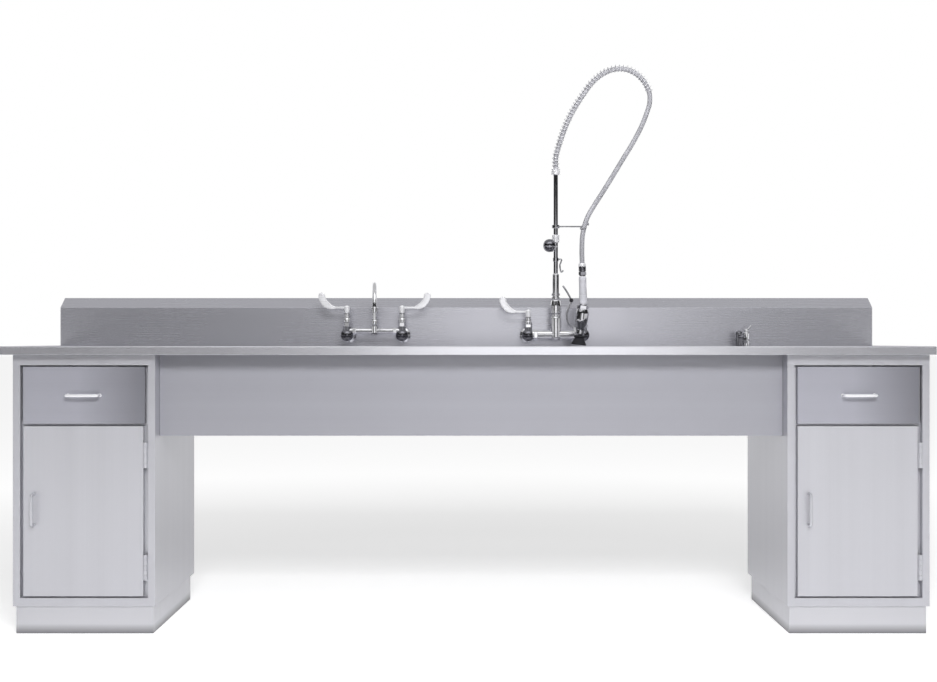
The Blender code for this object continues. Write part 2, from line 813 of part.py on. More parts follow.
def build_apron(steel):
    """The formed panel between the cabinets that hides the bowls."""
    end = KNEE_HALF - FIT
    low = (CABINET_SHIFT - end, APRON_FRONT, CABINET_TOP - APRON_DROP)
    high = (CABINET_SHIFT + end, APRON_REAR, CABINET_TOP)
    place("front_apron", pan(low, high, APRON_SHEET, (0, 1, 0)), steel)


def carcass_mesh():
    """The cabinet box with its face frame, middle rail and shelf ledges."""
    outer = block((-CABINET_HALF, 0.0, CABINET_BOTTOM), (CABINET_HALF, CABINET_DEPTH, CABINET_TOP))
    room = block(
        (-WALL_INSIDE, FRAME_DEPTH, CABINET_BOTTOM + CABINET_SHEET),
        (WALL_INSIDE, CABINET_DEPTH - CABINET_SHEET, CABINET_TOP - CABINET_SHEET),
    )
    opening = block(
        (-OPENING_HALF, -CUT_MARGIN, OPENING_BOTTOM),
        (OPENING_HALF, FRAME_DEPTH + CUT_MARGIN, OPENING_TOP),
    )
    split = (DRAWER_BOTTOM + DOOR_TOP) / 2
    rail_front = FRONT_THICKNESS + STOP_GAP
    in_wall = CABINET_HALF - CABINET_SHEET / 2
    rail = block(
        (-in_wall, rail_front, split - MIDDLE_RAIL / 2),
        (in_wall, rail_front + MIDDLE_RAIL_DEPTH, split + MIDDLE_RAIL / 2),
    )
    ledge_top = CABINET_BOTTOM + SHELF_HEIGHT
    ledges = []
    for side in (-1, 1):
        ends = sorted((side * in_wall, side * (WALL_INSIDE - SHELF_LEDGE)))
        ledges.append(
            block(
                (ends[0], SHELF_FRONT_SETBACK, ledge_top - SHELF_LEDGE),
                (ends[1], CABINET_DEPTH - CABINET_SHEET - SHELF_REAR_GAP, ledge_top),
            )
        )
    return joined(cut(outer, room, opening), rail, *ledges)


def plinth_mesh():
    """The base frame, with a foot turned in round the floor."""
    side = CABINET_HALF - PLINTH_SIDE_SETBACK
    front = PLINTH_FRONT_SETBACK
    rear = CABINET_DEPTH - PLINTH_REAR_SETBACK
    outer = block((-side, front, 0.0), (side, rear, PLINTH_HEIGHT))
    wall = PLINTH_SHEET
    room = block(
        (wall - side, front + wall, PLINTH_SHEET),
        (side - wall, rear - wall, PLINTH_HEIGHT + CUT_MARGIN),
    )
    foot = PLINTH_FOOT
    floor = block((foot - side, front + foot, -CUT_MARGIN), (side - foot, rear - foot, PLINTH_HEIGHT))
    return cut(outer, room, floor)


def shelf_mesh():
    """A shelf pan, open below, that rests on the ledges."""
    bottom = CABINET_BOTTOM + SHELF_HEIGHT + FIT
    side = WALL_INSIDE - RUNNING_GAP
    rear = CABINET_DEPTH - CABINET_SHEET - SHELF_REAR_GAP
    low = (-side, SHELF_FRONT_SETBACK, bottom)
    return pan(low, (side, rear, bottom + SHELF_THICKNESS), SHELF_SHEET, (0, 0, -1))


def slide_mesh(side):
    """A drawer slide on the side wall, a channel open toward the drawer."""
    wall = WALL_INSIDE - FIT
    half = SLIDE_HEIGHT / 2
    inner = half - SLIDE_SHEET
    outline = [
        (wall, -half),
        (wall, half),
        (SLIDE_INSIDE, half),
        (SLIDE_INSIDE, inner),
        (wall - SLIDE_SHEET, inner),
        (wall - SLIDE_SHEET, -inner),
        (SLIDE_INSIDE, -inner),
        (SLIDE_INSIDE, -half),
    ]
    outline = [(side * x, DRAWER_MIDDLE + z) for x, z in outline]
    start = FRAME_DEPTH + MIDDLE_RAIL_DEPTH
    return extruded(outline, start, start + SLIDE_LENGTH - MIDDLE_RAIL_DEPTH, along_y)


def drawer_box_mesh():
    """The open drawer with a runner on each side."""
    front = FRONT_SHEET + FIT
    half_height = DRAWER_BOX_HEIGHT / 2
    low = (-DRAWER_BOX_HALF, front, DRAWER_MIDDLE - half_height)
    high = (DRAWER_BOX_HALF, front + DRAWER_BOX_LENGTH, DRAWER_MIDDLE + half_height)
    tray = pan(low, high, DRAWER_SHEET, (0, 0, 1))
    half = SLIDE_HEIGHT / 2 - SLIDE_SHEET - RUNNING_GAP
    start = FRAME_DEPTH + MIDDLE_RAIL_DEPTH
    runners = []
    for side in (-1, 1):
        ends = sorted((side * (DRAWER_BOX_HALF - DRAWER_SHEET / 2), side * (SLIDE_INSIDE + RUNNER_REACH)))
        runners.append(
            block(
                (ends[0], start, DRAWER_MIDDLE - half),
                (ends[1], front + DRAWER_BOX_LENGTH - DRAWER_SHEET, DRAWER_MIDDLE + half),
            )
        )
    return joined(tray, *runners)


def front_pan(low, high):
    """A drawer or door front: a pan with eased face edges, open behind."""
    low = Vector(low)
    high = Vector(high)
    wall = Vector((FRONT_SHEET, FRONT_SHEET, FRONT_SHEET))
    shell = block(low, high, FRONT_NOSE, lambda p: p.y < (low.y + high.y) / 2)
    inner_high = high - wall
    inner_high.y = high.y + CUT_MARGIN
    return cut(shell, block(low + wall, inner_high))


def door_liner_mesh():
    """The sheet that closes the door's back."""
    inset = FRONT_SHEET + FIT
    low = (DOOR_LEFT + inset, FRONT_THICKNESS - FRONT_SHEET, DOOR_BOTTOM + inset)
    return block(low, (DOOR_RIGHT - inset, FRONT_THICKNESS, DOOR_TOP - inset))


def pull_mesh(upright):
    """A bar pull bent from round rod, on the face at y = 0."""
    half = PULL_CENTRES / 2
    depth = PULL_PROJECTION
    bend = PULL_BEND
    line = [(-half, -FIT)]
    line += arc((bend - half, bend - depth), bend, math.pi, 1.5 * math.pi, CORNER_STEPS)
    line += arc((half - bend, bend - depth), bend, 1.5 * math.pi, math.tau, CORNER_STEPS)
    line.append((half, -FIT))
    points = [(0.0, y, a) if upright else (a, y, 0.0) for a, y in line]
    return pipe(points, PULL_RADIUS)


def knuckle_spans():
    """The lower and upper end of each hinge knuckle, from the hinge's middle."""
    pitch = HINGE_HEIGHT / HINGE_KNUCKLES
    ends = []
    for index in range(HINGE_KNUCKLES):
        start = index * pitch - HINGE_HEIGHT / 2
        ends.append((start + HINGE_KNUCKLE_GAP / 2, start + pitch - HINGE_KNUCKLE_GAP / 2))
    return ends


def leaf_mesh(low_x, high_x, spans):
    """A flat hinge leaf behind the barrel, with a tongue to each of its knuckles."""
    rear = HINGE_PROUD + HINGE_LEAF_DEPTH
    root = HINGE_BARREL + HINGE_KNUCKLE_GAP
    half = HINGE_HEIGHT / 2
    outline = [(root, -half)]
    for start, end in spans:
        low = start + HINGE_TONGUE_INSET
        high = end - HINGE_TONGUE_INSET
        outline += [(root, low), (0.0, low), (0.0, high), (root, high)]
    outline += [(root, half), (rear, half), (rear, -half)]
    return extruded(outline, low_x, high_x, along_x)


def frame_leaf_mesh():
    """The fixed hinge leaf with its outer knuckles and the pin, about the hinge axis."""
    reach = HINGE_GAP / 2 - FIT
    spans = knuckle_spans()
    profile = [(0.0, spans[0][0])]
    for start, end in spans[::2]:
        if len(profile) > 1:
            profile += [(HINGE_PIN, profile[-1][1]), (HINGE_PIN, start)]
        profile += [(HINGE_BARREL, start), (HINGE_BARREL, end)]
    profile.append((0.0, spans[-1][1]))
    return joined(turned(profile, HINGE_SIDES), leaf_mesh(reach - HINGE_LEAF, reach, spans[::2]))


def door_leaf_mesh():
    """The moving hinge leaf with its bored knuckles, about the hinge axis."""
    reach = FIT - HINGE_GAP / 2
    bore = HINGE_PIN + HINGE_BORE_GAP
    spans = knuckle_spans()[1::2]
    rings = []
    for start, end in spans:
        ring = [(bore, start), (HINGE_BARREL, start), (HINGE_BARREL, end), (bore, end)]
        rings.append(turned(ring, HINGE_SIDES, ring=True))
    return joined(leaf_mesh(reach, reach + HINGE_LEAF, spans), *rings)


def build_cabinets(satin, steel, bright):
    """Two equal cabinets, each with its plinth, shelf, drawer and door."""
    carcass = carcass_mesh()
    plinth = plinth_mesh()
    shelf = shelf_mesh()
    slides = {"left": slide_mesh(-1), "right": slide_mesh(1)}
    drawer_half = OPENING_HALF - FRONT_SIDE_GAP
    drawer_front = front_pan((-drawer_half, 0.0, DRAWER_BOTTOM), (drawer_half, FRONT_THICKNESS, DRAWER_TOP))
    drawer_box = drawer_box_mesh()
    drawer_pull = pull_mesh(upright=False)
    door = front_pan((DOOR_LEFT, 0.0, DOOR_BOTTOM), (DOOR_RIGHT, FRONT_THICKNESS, DOOR_TOP))
    liner = door_liner_mesh()
    door_pull = pull_mesh(upright=True)
    frame_leaf = frame_leaf_mesh()
    door_leaf = door_leaf_mesh()
    hinge_heights = {"upper": DOOR_TOP - HINGE_INSET, "lower": DOOR_BOTTOM + HINGE_INSET}
    door_shift = Vector((-HINGE_AXIS, HINGE_PROUD, 0.0))
    for side, x in (("left", -CABINET_OFFSET), ("right", CABINET_OFFSET)):
        root = pivot(f"{side}_cabinet_root", (x + CABINET_SHIFT, CABINET_FACE, 0.0))
        place(f"{side}_cabinet", carcass, satin, root)
        place(f"{side}_plinth", plinth, steel, root)
        place(f"{side}_shelf", shelf, satin, root)
        for hand, mesh in slides.items():
            place(f"{side}_slide_{hand}", mesh, steel, root)
        drawer = pivot(f"{side}_drawer_axis", (0.0, 0.0, 0.0), root)
        place(f"{side}_drawer_front", drawer_front, satin, drawer)
        place(f"{side}_drawer_box", drawer_box, satin, drawer)
        place(f"{side}_drawer_pull", drawer_pull, bright, drawer, (0.0, 0.0, DRAWER_MIDDLE))
        hinge = pivot(f"{side}_door_axis", (HINGE_AXIS, -HINGE_PROUD, 0.0), root)
        place(f"{side}_door_panel", door, satin, hinge, door_shift)
        place(f"{side}_door_liner", liner, satin, hinge, door_shift)
        pull_place = door_shift + Vector((DOOR_LEFT + DOOR_PULL_INSET, 0.0, DOOR_TOP - DOOR_PULL_DROP))
        place(f"{side}_door_pull", door_pull, bright, hinge, pull_place)
        for level, height in hinge_heights.items():
            fixed_place = (HINGE_AXIS, -HINGE_PROUD, height)
            place(f"{side}_hinge_{level}_frame_leaf", frame_leaf, bright, root, fixed_place)
            place(f"{side}_hinge_{level}_door_leaf", door_leaf, bright, hinge, (0.0, 0.0, height))


def valve_profile(bonnet_top):
    """The turned outline of a valve: bulb, bonnet and stem boss."""
    bulb = TAP_BULB_RADIUS
    neck = math.asin(TAP_BONNET_RADIUS / bulb)
    angles = [math.pi - (math.pi - neck) * step / BULB_STEPS for step in range(BULB_STEPS + 1)]
    profile = [(bulb * math.sin(a), bulb * math.cos(a)) for a in angles]
    profile[0] = (0.0, -bulb)
    shoulder = bulb * math.cos(neck)
    hexagon = TAP_BONNET_RADIUS * 1.15
    tier = (bonnet_top - shoulder) / 5
    profile += [
        (TAP_BONNET_RADIUS, shoulder + tier * 0.8),
        (hexagon, shoulder + tier),
        (hexagon, shoulder + tier * 2.2),
        (TAP_BONNET_RADIUS, shoulder + tier * 2.5),
        (TAP_STEM_RADIUS, shoulder + tier * 3.4),
        (TAP_STEM_RADIUS, bonnet_top),
        (0.0, bonnet_top),
    ]
    return profile


def tap_body_mesh(centre_profile, tube_radius, tube_rise, bonnet_top):
    """Two valves on a cross tube, with supply arms to the splash and a fitting in the middle."""
    half = TAP_CENTRES / 2
    tube_line = [(-half, 0.0, tube_rise), (half, 0.0, tube_rise)]
    pieces = []
    face = TAP_REACH - FIT
    shank_end = face + TAP_SHANK_LENGTH
    supply = [
        (0.0, 0.0),
        (TAP_ARM_RADIUS, 0.0),
        (TAP_ARM_RADIUS, face - TAP_FLANGE_THICKNESS),
        (TAP_FLANGE_RADIUS * 0.8, face - TAP_FLANGE_THICKNESS * 0.8),
        (TAP_FLANGE_RADIUS, face - TAP_FLANGE_THICKNESS * 0.3),
        (TAP_FLANGE_RADIUS, face),
        (TAP_SHANK_RADIUS, face),
        (TAP_SHANK_RADIUS, shank_end),
        (0.0, shank_end),
    ]
    for x in (-half, half):
        pieces.append(moved(turned(valve_profile(bonnet_top), SMALL_SIDES), (x, 0.0, 0.0)))
        pieces.append(moved(turned(supply, SMALL_SIDES), (x, 0.0, 0.0), (0.0, 1.0, 0.0)))
    centre = turned(centre_profile, ROUND_SIDES)
    return joined(centre, pipe(tube_line, tube_radius, PIPE_RESOLUTION + 1), *pieces)


def blade_outline():
    """The side of a wrist blade: an arm that bends up into a paddle with a round tip."""
    centre = (HANDLE_ARM_LENGTH, HANDLE_ARM_RISE + HANDLE_BEND_RADIUS)
    upper = [(0.0, HANDLE_ARM_RISE + HANDLE_ARM_HALF)]
    lower = [(0.0, HANDLE_ARM_RISE - HANDLE_ARM_HALF)]
    for step in range(BEND_STEPS + 1):
        share = step / BEND_STEPS
        angle = HANDLE_BEND_ANGLE * share - math.pi / 2
        widening = math.sin(min(1.0, share / 0.55) * math.pi / 2)
        half = HANDLE_ARM_HALF + (HANDLE_BLADE_HALF - HANDLE_ARM_HALF) * widening
        for side, line in ((-1, upper), (1, lower)):
            radius = HANDLE_BEND_RADIUS + side * half
            line.append((centre[0] + radius * math.cos(angle), centre[1] + radius * math.sin(angle)))
    last = HANDLE_BEND_ANGLE - math.pi / 2
    middle = (
        centre[0] + HANDLE_BEND_RADIUS * math.cos(last),
        centre[1] + HANDLE_BEND_RADIUS * math.sin(last),
    )
    tip = arc(middle, HANDLE_BLADE_HALF, last, last + math.pi, BEND_STEPS // 2)[1:-1]
    return lower + tip + upper[::-1]


def handle_mesh():
    """A wrist blade on its hub, pointing along +X from its axis."""
    half = HANDLE_THICKNESS / 2
    crown = HANDLE_HUB_HEIGHT * 0.85
    hub = [
        (0.0, 0.0),
        (HANDLE_HUB_RADIUS, 0.0),
        (HANDLE_HUB_RADIUS, crown),
        (HANDLE_HUB_RADIUS * 0.7, HANDLE_HUB_HEIGHT),
        (0.0, HANDLE_HUB_HEIGHT),
    ]
    return joined(turned(hub, SMALL_SIDES), extruded(blade_outline(), -half, half, along_y))


def place_handle(name, mesh, x, bonnet_top, bearing, chrome):
    """A handle on its valve, turned to its bearing round the valve's axis."""
    base = TAP_Z + bonnet_top + FIT
    axis = pivot(f"{name}_axis", (x, TAP_Y, base), None, (0.0, 0.0, bearing))
    place(name, mesh, chrome, axis)


def spout_mesh():
    """A swan-neck spout on its swivel nut, reaching along -Y from its axis."""
    bend = SPOUT_SPREAD / 2
    start = SPOUT_NUT_HEIGHT / 2
    end = SPOUT_BEND_RISE
    line = [(0.0, 0.0, start)]
    for y, z in arc((-bend, end), bend, 0.0, math.pi, 2 * BEND_STEPS):
        line.append((0.0, y, z))
    nut = [
        (0.0, 0.0),
        (SPOUT_NUT_RADIUS, 0.0),
        (SPOUT_NUT_RADIUS, SPOUT_NUT_HEIGHT * 0.7),
        (SPOUT_TUBE_RADIUS * 1.15, SPOUT_NUT_HEIGHT),
        (0.0, SPOUT_NUT_HEIGHT),
    ]
    tip = [
        (0.0, -SPOUT_TIP_LENGTH / 2),
        (SPOUT_TIP_BORE, -SPOUT_TIP_LENGTH / 2),
        (SPOUT_TIP_BORE, SPOUT_TIP_BORE_DEPTH - SPOUT_TIP_LENGTH / 2),
        (0.0, SPOUT_TIP_BORE_DEPTH - SPOUT_TIP_LENGTH / 2),
    ]
    mouth = moved(turned(tip, SMALL_SIDES), (0.0, -SPOUT_SPREAD, end))
    tip[1] = (SPOUT_TIP_RADIUS, tip[1][1])
    tip[2] = (SPOUT_TIP_RADIUS, SPOUT_TIP_LENGTH / 2)
    tip[3] = (0.0, SPOUT_TIP_LENGTH / 2)
    outlet = moved(turned(tip, SMALL_SIDES), (0.0, -SPOUT_SPREAD, end))
    return cut(joined(pipe(line, SPOUT_TUBE_RADIUS), turned(nut, SMALL_SIDES), outlet), mouth)


def build_faucet(chrome):
    """The mixing faucet over the left bowl."""
    socket = [
        (0.0, 0.0),
        (FAUCET_SOCKET_RADIUS, 0.0),
        (FAUCET_SOCKET_RADIUS, FAUCET_SOCKET_TOP),
        (0.0, FAUCET_SOCKET_TOP),
    ]
    x = FAUCET_X
    top = FAUCET_BONNET_TOP
    body = tap_body_mesh(socket, TAP_TUBE_RADIUS, TAP_TUBE_RISE, top)
    place("faucet_body", body, chrome, location=(x, TAP_Y, TAP_Z))
    handle = handle_mesh()
    place_handle("faucet_hot_handle", handle, x - TAP_CENTRES / 2, top, math.pi, chrome)
    place_handle("faucet_cold_handle", handle, x + TAP_CENTRES / 2, top, 0.0, chrome)
    spout_place = (x, TAP_Y, TAP_Z + FAUCET_SOCKET_TOP + FIT)
    swivel = pivot("faucet_spout_axis", spout_place, None, (0.0, 0.0, SPOUT_BEARING))
    place("faucet_spout", spout_mesh(), chrome, swivel)


def riser_mesh():
    """The riser: sleeve with rings, tube, tee with a boss, and the collar that holds the spring."""
    sleeve = RISER_SLEEVE_RADIUS
    tube = RISER_TUBE_RADIUS
    ring = RISER_RING_HEIGHT
    collar = RISER_HEIGHT - RISER_COLLAR_HEIGHT
    profile = [(0.0, 0.0), (RISER_RING_RADIUS, 0.0), (RISER_RING_RADIUS, ring), (sleeve, ring)]
    profile += [(sleeve, ring * 2), (RISER_RING_RADIUS, ring * 2), (RISER_RING_RADIUS, ring * 3)]
    profile += [(sleeve, ring * 3), (sleeve, RISER_SLEEVE_TOP), (tube, RISER_SLEEVE_TOP)]
    profile += [(tube, RISER_TEE_BOTTOM), (RISER_TEE_RADIUS, RISER_TEE_BOTTOM)]
    profile += [(RISER_TEE_RADIUS, RISER_TEE_TOP), (tube, RISER_TEE_TOP), (tube, collar)]
    profile += [(RISER_COLLAR_RADIUS, collar), (RISER_COLLAR_RADIUS, RISER_HEIGHT), (0.0, RISER_HEIGHT)]
    reach = RISER_BOSS_REACH
    boss = [(0.0, 0.0), (RISER_BOSS_RADIUS, 0.0), (RISER_BOSS_RADIUS, reach), (0.0, reach)]
    bearing = (math.cos(BREAKER_BEARING), math.sin(BREAKER_BEARING), 0.0)
    boss_place = (0.0, 0.0, RISER_BOSS_RISE)
    clip_line = [
        (0.0, CLIP_RISE + CLIP_HEIGHT),
        (CLIP_REACH * 0.75, CLIP_RISE + CLIP_HEIGHT),
        (CLIP_REACH * 0.55, CLIP_RISE + CLIP_HEIGHT * 0.5),
        (CLIP_REACH * 0.7, CLIP_RISE),
        (CLIP_REACH, CLIP_RISE + CLIP_HEIGHT * 0.12),
    ]
    clip = pipe([(x, 0.0, z) for x, z in clip_line], CLIP_WIRE_RADIUS)
    return joined(turned(profile), moved(turned(boss, SMALL_SIDES), boss_place, bearing), clip)


def breaker_mesh():
    """The round vacuum breaker on its neck, pointing along +Z from the boss."""
    ball = BREAKER_NECK_LENGTH + math.sqrt(BREAKER_RADIUS**2 - BREAKER_NECK_RADIUS**2)
    first = math.asin(BREAKER_NECK_RADIUS / BREAKER_RADIUS)
    profile = [(0.0, 0.0), (BREAKER_NECK_RADIUS, 0.0)]
    for step in range(BEND_STEPS):
        angle = first + (math.pi - first) * step / BEND_STEPS
        profile.append((BREAKER_RADIUS * math.sin(angle), ball - BREAKER_RADIUS * math.cos(angle)))
    profile.append((0.0, ball + BREAKER_RADIUS))
    return turned(profile)


def hook_mesh(hose_point):
    """A clamp on the riser and a rod to an open ring round the hose, about the riser's axis."""
    half = HOOK_CLAMP_HEIGHT / 2
    bore = RISER_TUBE_RADIUS + FIT
    outline = [(bore, -half), (HOOK_CLAMP_RADIUS, -half), (HOOK_CLAMP_RADIUS, half), (bore, half)]
    rise = Vector((0.0, 0.0, HOOK_CLAMP_RISE))
    clamp = moved(turned(outline, ring=True), rise)
    ring = HOSE_RADIUS + HOOK_RING_CLEARANCE + HOOK_ROD_RADIUS
    flat = Vector((hose_point.x, hose_point.y, 0.0))
    bearing = math.atan2(flat.y, flat.x)
    start = rise + flat.normalized() * (bore + HOOK_CLAMP_RADIUS) / 2
    end = flat - flat.normalized() * ring
    gap = HOOK_RING_OPEN / 2
    circle = arc((flat.x, flat.y), ring, bearing + gap, bearing + math.tau - gap, 2 * BEND_STEPS)
    loop = pipe([(x, y, 0.0) for x, y in circle], HOOK_ROD_RADIUS)
    return joined(clamp, pipe([start, end], HOOK_ROD_RADIUS), loop)


def spring_points(line):
    """A helix round the first stretch of the hose, with a straight end on the collar."""
    straight = 2 * SPRING_WIRE
    rise = Vector((0.0, 0.0, straight))
    wound = [line[0] + rise] + [p for p, run in zip(line, distances(line)) if run > straight]
    stretch = spaced(wound, distances(wound)[-1] / (SPRING_CURLS * SPRING_CURL_POINTS))
    normal = Vector((0.0, -1.0, 0.0))
    points = []
    for index, centre in enumerate(stretch):
        before = stretch[max(index - 1, 0)]
        after = stretch[min(index + 1, len(stretch) - 1)]
        tangent = (after - before).normalized()
        normal = (normal - tangent * normal.dot(tangent)).normalized()
        angle = math.tau * index / SPRING_CURL_POINTS
        spoke = normal * math.cos(angle) + tangent.cross(normal) * math.sin(angle)
        points.append(centre + spoke * SPRING_RADIUS)
    ending = (stretch[-1] - stretch[-2]).normalized() * straight
    return [points[0] - rise, points[0] - rise / 2] + points + [points[-1] + ending]


def least_gap(points):
    """The least gap between turns that aren't neighbours along the wire."""
    apart = SPRING_CURL_POINTS // 2
    pairs = ((a, b) for i, a in enumerate(points) for b in points[i + apart :])
    return min((a - b).length for a, b in pairs) - 2 * SPRING_WIRE


def ribbon_outline(line, thickness):
    """The outline of a bent strip along points of a plane."""
    half = thickness / 2
    left = []
    right = []
    for index, point in enumerate(line):
        before = Vector(line[max(index - 1, 0)])
        after = Vector(line[min(index + 1, len(line) - 1)])
        side = (after - before).orthogonal().normalized() * half
        left.append(tuple(Vector(point) + side))
        right.append(tuple(Vector(point) - side))
    return left + right[::-1]


def lever_mesh():
    """The squeeze lever about its pivot: hub, bent strip and knob."""
    half = LEVER_WIDTH / 2
    hub = [(0.0, -half), (LEVER_HUB_RADIUS, -half), (LEVER_HUB_RADIUS, half), (0.0, half)]
    strip = extruded(ribbon_outline(LEVER_LINE, LEVER_THICKNESS), -half, half, along_y)
    knob = []
    for step in range(BEND_STEPS + 1):
        angle = math.pi * step / BEND_STEPS
        knob.append((LEVER_KNOB_RADIUS * math.sin(angle), -LEVER_KNOB_RADIUS * math.cos(angle)))
    knob[0] = (0.0, -LEVER_KNOB_RADIUS)
    knob[-1] = (0.0, LEVER_KNOB_RADIUS)
    x, z = LEVER_LINE[LEVER_KNOB_POINT]
    ball = moved(turned(knob, SMALL_SIDES), (x, -half, z))
    return joined(moved(turned(hub, SMALL_SIDES), toward=(0.0, 1.0, 0.0)), strip, ball)


def build_spray(hose_points, chrome, grip_rubber, black_rubber):
    """The spray valve below the hose: ferrule, grip, valve body, nozzle and squeeze lever."""
    hang = (hose_points[-1] - hose_points[-2]).normalized()
    tilt = -math.atan2(hang.x, -hang.z)
    root = pivot("spray_root", hose_points[-1] + hang * FIT, None, (0.0, tilt, 0.0))
    neck = FERRULE_RADIUS * 0.82
    ferrule = [
        (0.0, -FERRULE_LENGTH),
        (neck, -FERRULE_LENGTH),
        (neck, -FERRULE_LENGTH * 0.75),
        (FERRULE_RADIUS, -FERRULE_LENGTH * 0.7),
        (FERRULE_RADIUS, -FERRULE_LENGTH * 0.12),
        (neck, 0.0),
        (0.0, 0.0),
    ]
    place("hose_ferrule", turned(ferrule), chrome, root)
    grip_top = -FERRULE_LENGTH - FIT
    grip = [
        (0.0, -GRIP_LENGTH),
        (GRIP_RADIUS, -GRIP_LENGTH),
        (GRIP_RADIUS, -GRIP_LENGTH * 0.88),
        (GRIP_WAIST_RADIUS, -GRIP_LENGTH * 0.5),
        (GRIP_WAIST_RADIUS, -GRIP_LENGTH * 0.1),
        (GRIP_WAIST_RADIUS * 0.86, 0.0),
        (0.0, 0.0),
    ]
    place("spray_grip", turned(grip), grip_rubber, root, (0.0, 0.0, grip_top))
    body_top = grip_top - GRIP_LENGTH - FIT
    length = SPRAY_BODY_LENGTH
    wide = SPRAY_BODY_RADIUS
    body = [
        (0.0, -length),
        (SPRAY_NECK_RADIUS, -length),
        (SPRAY_NECK_RADIUS, -length * 0.78),
        (wide * 0.92, -length * 0.62),
        (wide, -length * 0.5),
        (wide, -length * 0.25),
        (wide * 0.85, -length * 0.12),
        (SPRAY_NECK_RADIUS, -SPRAY_NECK_CROWN),
        (SPRAY_NECK_RADIUS / 2, -SPRAY_NECK_CROWN / 2),
        (0.0, 0.0),
    ]
    up = Vector((math.sin(SPRAY_TILT), 0.0, math.cos(SPRAY_TILT)))
    lug_low = -LUG_DROP - LUG_HEIGHT / 2
    lug = block((-LUG_REACH, -LUG_WIDTH / 2, lug_low), (-LUG_ROOT, LUG_WIDTH / 2, lug_low + LUG_HEIGHT))
    tilted = moved(turned(body), toward=up)
    place("spray_body", joined(tilted, lug), chrome, root, (0.0, 0.0, body_top))
    ring = NOZZLE_RING_HEIGHT
    mouth = -ring - NOZZLE_BELL_HEIGHT
    nozzle = [
        (0.0, mouth + NOZZLE_BORE_DEPTH),
        (NOZZLE_BORE, mouth + NOZZLE_BORE_DEPTH),
        (NOZZLE_BORE, mouth),
        (NOZZLE_BELL_RADIUS, mouth),
        (NOZZLE_BELL_RADIUS * 0.55, -ring),
        (NOZZLE_RING_RADIUS * 0.94, -ring),
        (NOZZLE_RING_RADIUS, -ring * 0.75),
        (NOZZLE_RING_RADIUS, -ring * 0.4),
        (NOZZLE_RING_RADIUS * 0.88, -ring * 0.15),
        (SPRAY_NECK_RADIUS, 0.0),
        (0.0, 0.0),
    ]
    nozzle_mesh = moved(turned(nozzle), -up * (length + FIT), up)
    place("spray_nozzle", nozzle_mesh, black_rubber, root, (0.0, 0.0, body_top))
    lever_place = (-LUG_REACH - FIT - LEVER_HUB_RADIUS, 0.0, body_top - LUG_DROP)
    place("spray_lever", lever_mesh(), chrome, pivot("spray_lever_axis", lever_place, root))


def build_prerinse(chrome, braid, grip_rubber, black_rubber):
    """The pre-rinse over the right bowl: body, riser, hose with its spring, hook and spray valve."""
    column = [
        (0.0, -COLUMN_DROP),
        (COLUMN_RADIUS * 0.6, -COLUMN_DROP),
        (COLUMN_RADIUS, -COLUMN_DROP / 2),
        (COLUMN_RADIUS, COLUMN_TOP * 0.86),
        (RISER_RING_RADIUS, COLUMN_TOP),
        (0.0, COLUMN_TOP),
    ]
    x = BOWL_OFFSET
    top = PRERINSE_BONNET_TOP
    body = tap_body_mesh(column, BAR_RADIUS, BAR_RISE, top)
    place("prerinse_body", body, chrome, location=(x, TAP_Y, TAP_Z))
    handle = handle_mesh()
    place_handle("prerinse_hot_handle", handle, x - TAP_CENTRES / 2, top, math.pi, chrome)
    place_handle("prerinse_cold_handle", handle, x + TAP_CENTRES / 2, top, -math.pi / 2, chrome)
    place("prerinse_riser", riser_mesh(), chrome, location=(x, TAP_Y, RISER_BASE))
    bearing = Vector((math.cos(BREAKER_BEARING), math.sin(BREAKER_BEARING), 0.0))
    breaker = moved(breaker_mesh(), bearing * (RISER_BOSS_REACH + FIT), bearing)
    place("vacuum_breaker", breaker, chrome, location=(x, TAP_Y, RISER_BASE + RISER_BOSS_RISE))
    line, marks = smooth_route()
    hook_place = Vector((x, TAP_Y, line[marks[HOOK_POINT]].z))
    place("hose_hook", hook_mesh(line[marks[HOOK_POINT]] - hook_place), chrome, location=hook_place)
    hose_points = spaced(line, HOSE_SPACING)
    place("prerinse_hose", tube_curve(hose_points, HOSE_RADIUS, PIPE_RESOLUTION), braid)
    coil = spring_points(line[: marks[SPRING_END_POINT] + 1])
    place("prerinse_spring", tube_curve(coil, SPRING_WIRE, 1), chrome)
    print(f"spring: least gap to itself {least_gap(coil) * 1000:.2f} mm")
    print(f"hose: length {distances(line)[-1]:.3f} m")
    build_spray(hose_points, chrome, grip_rubber, black_rubber)


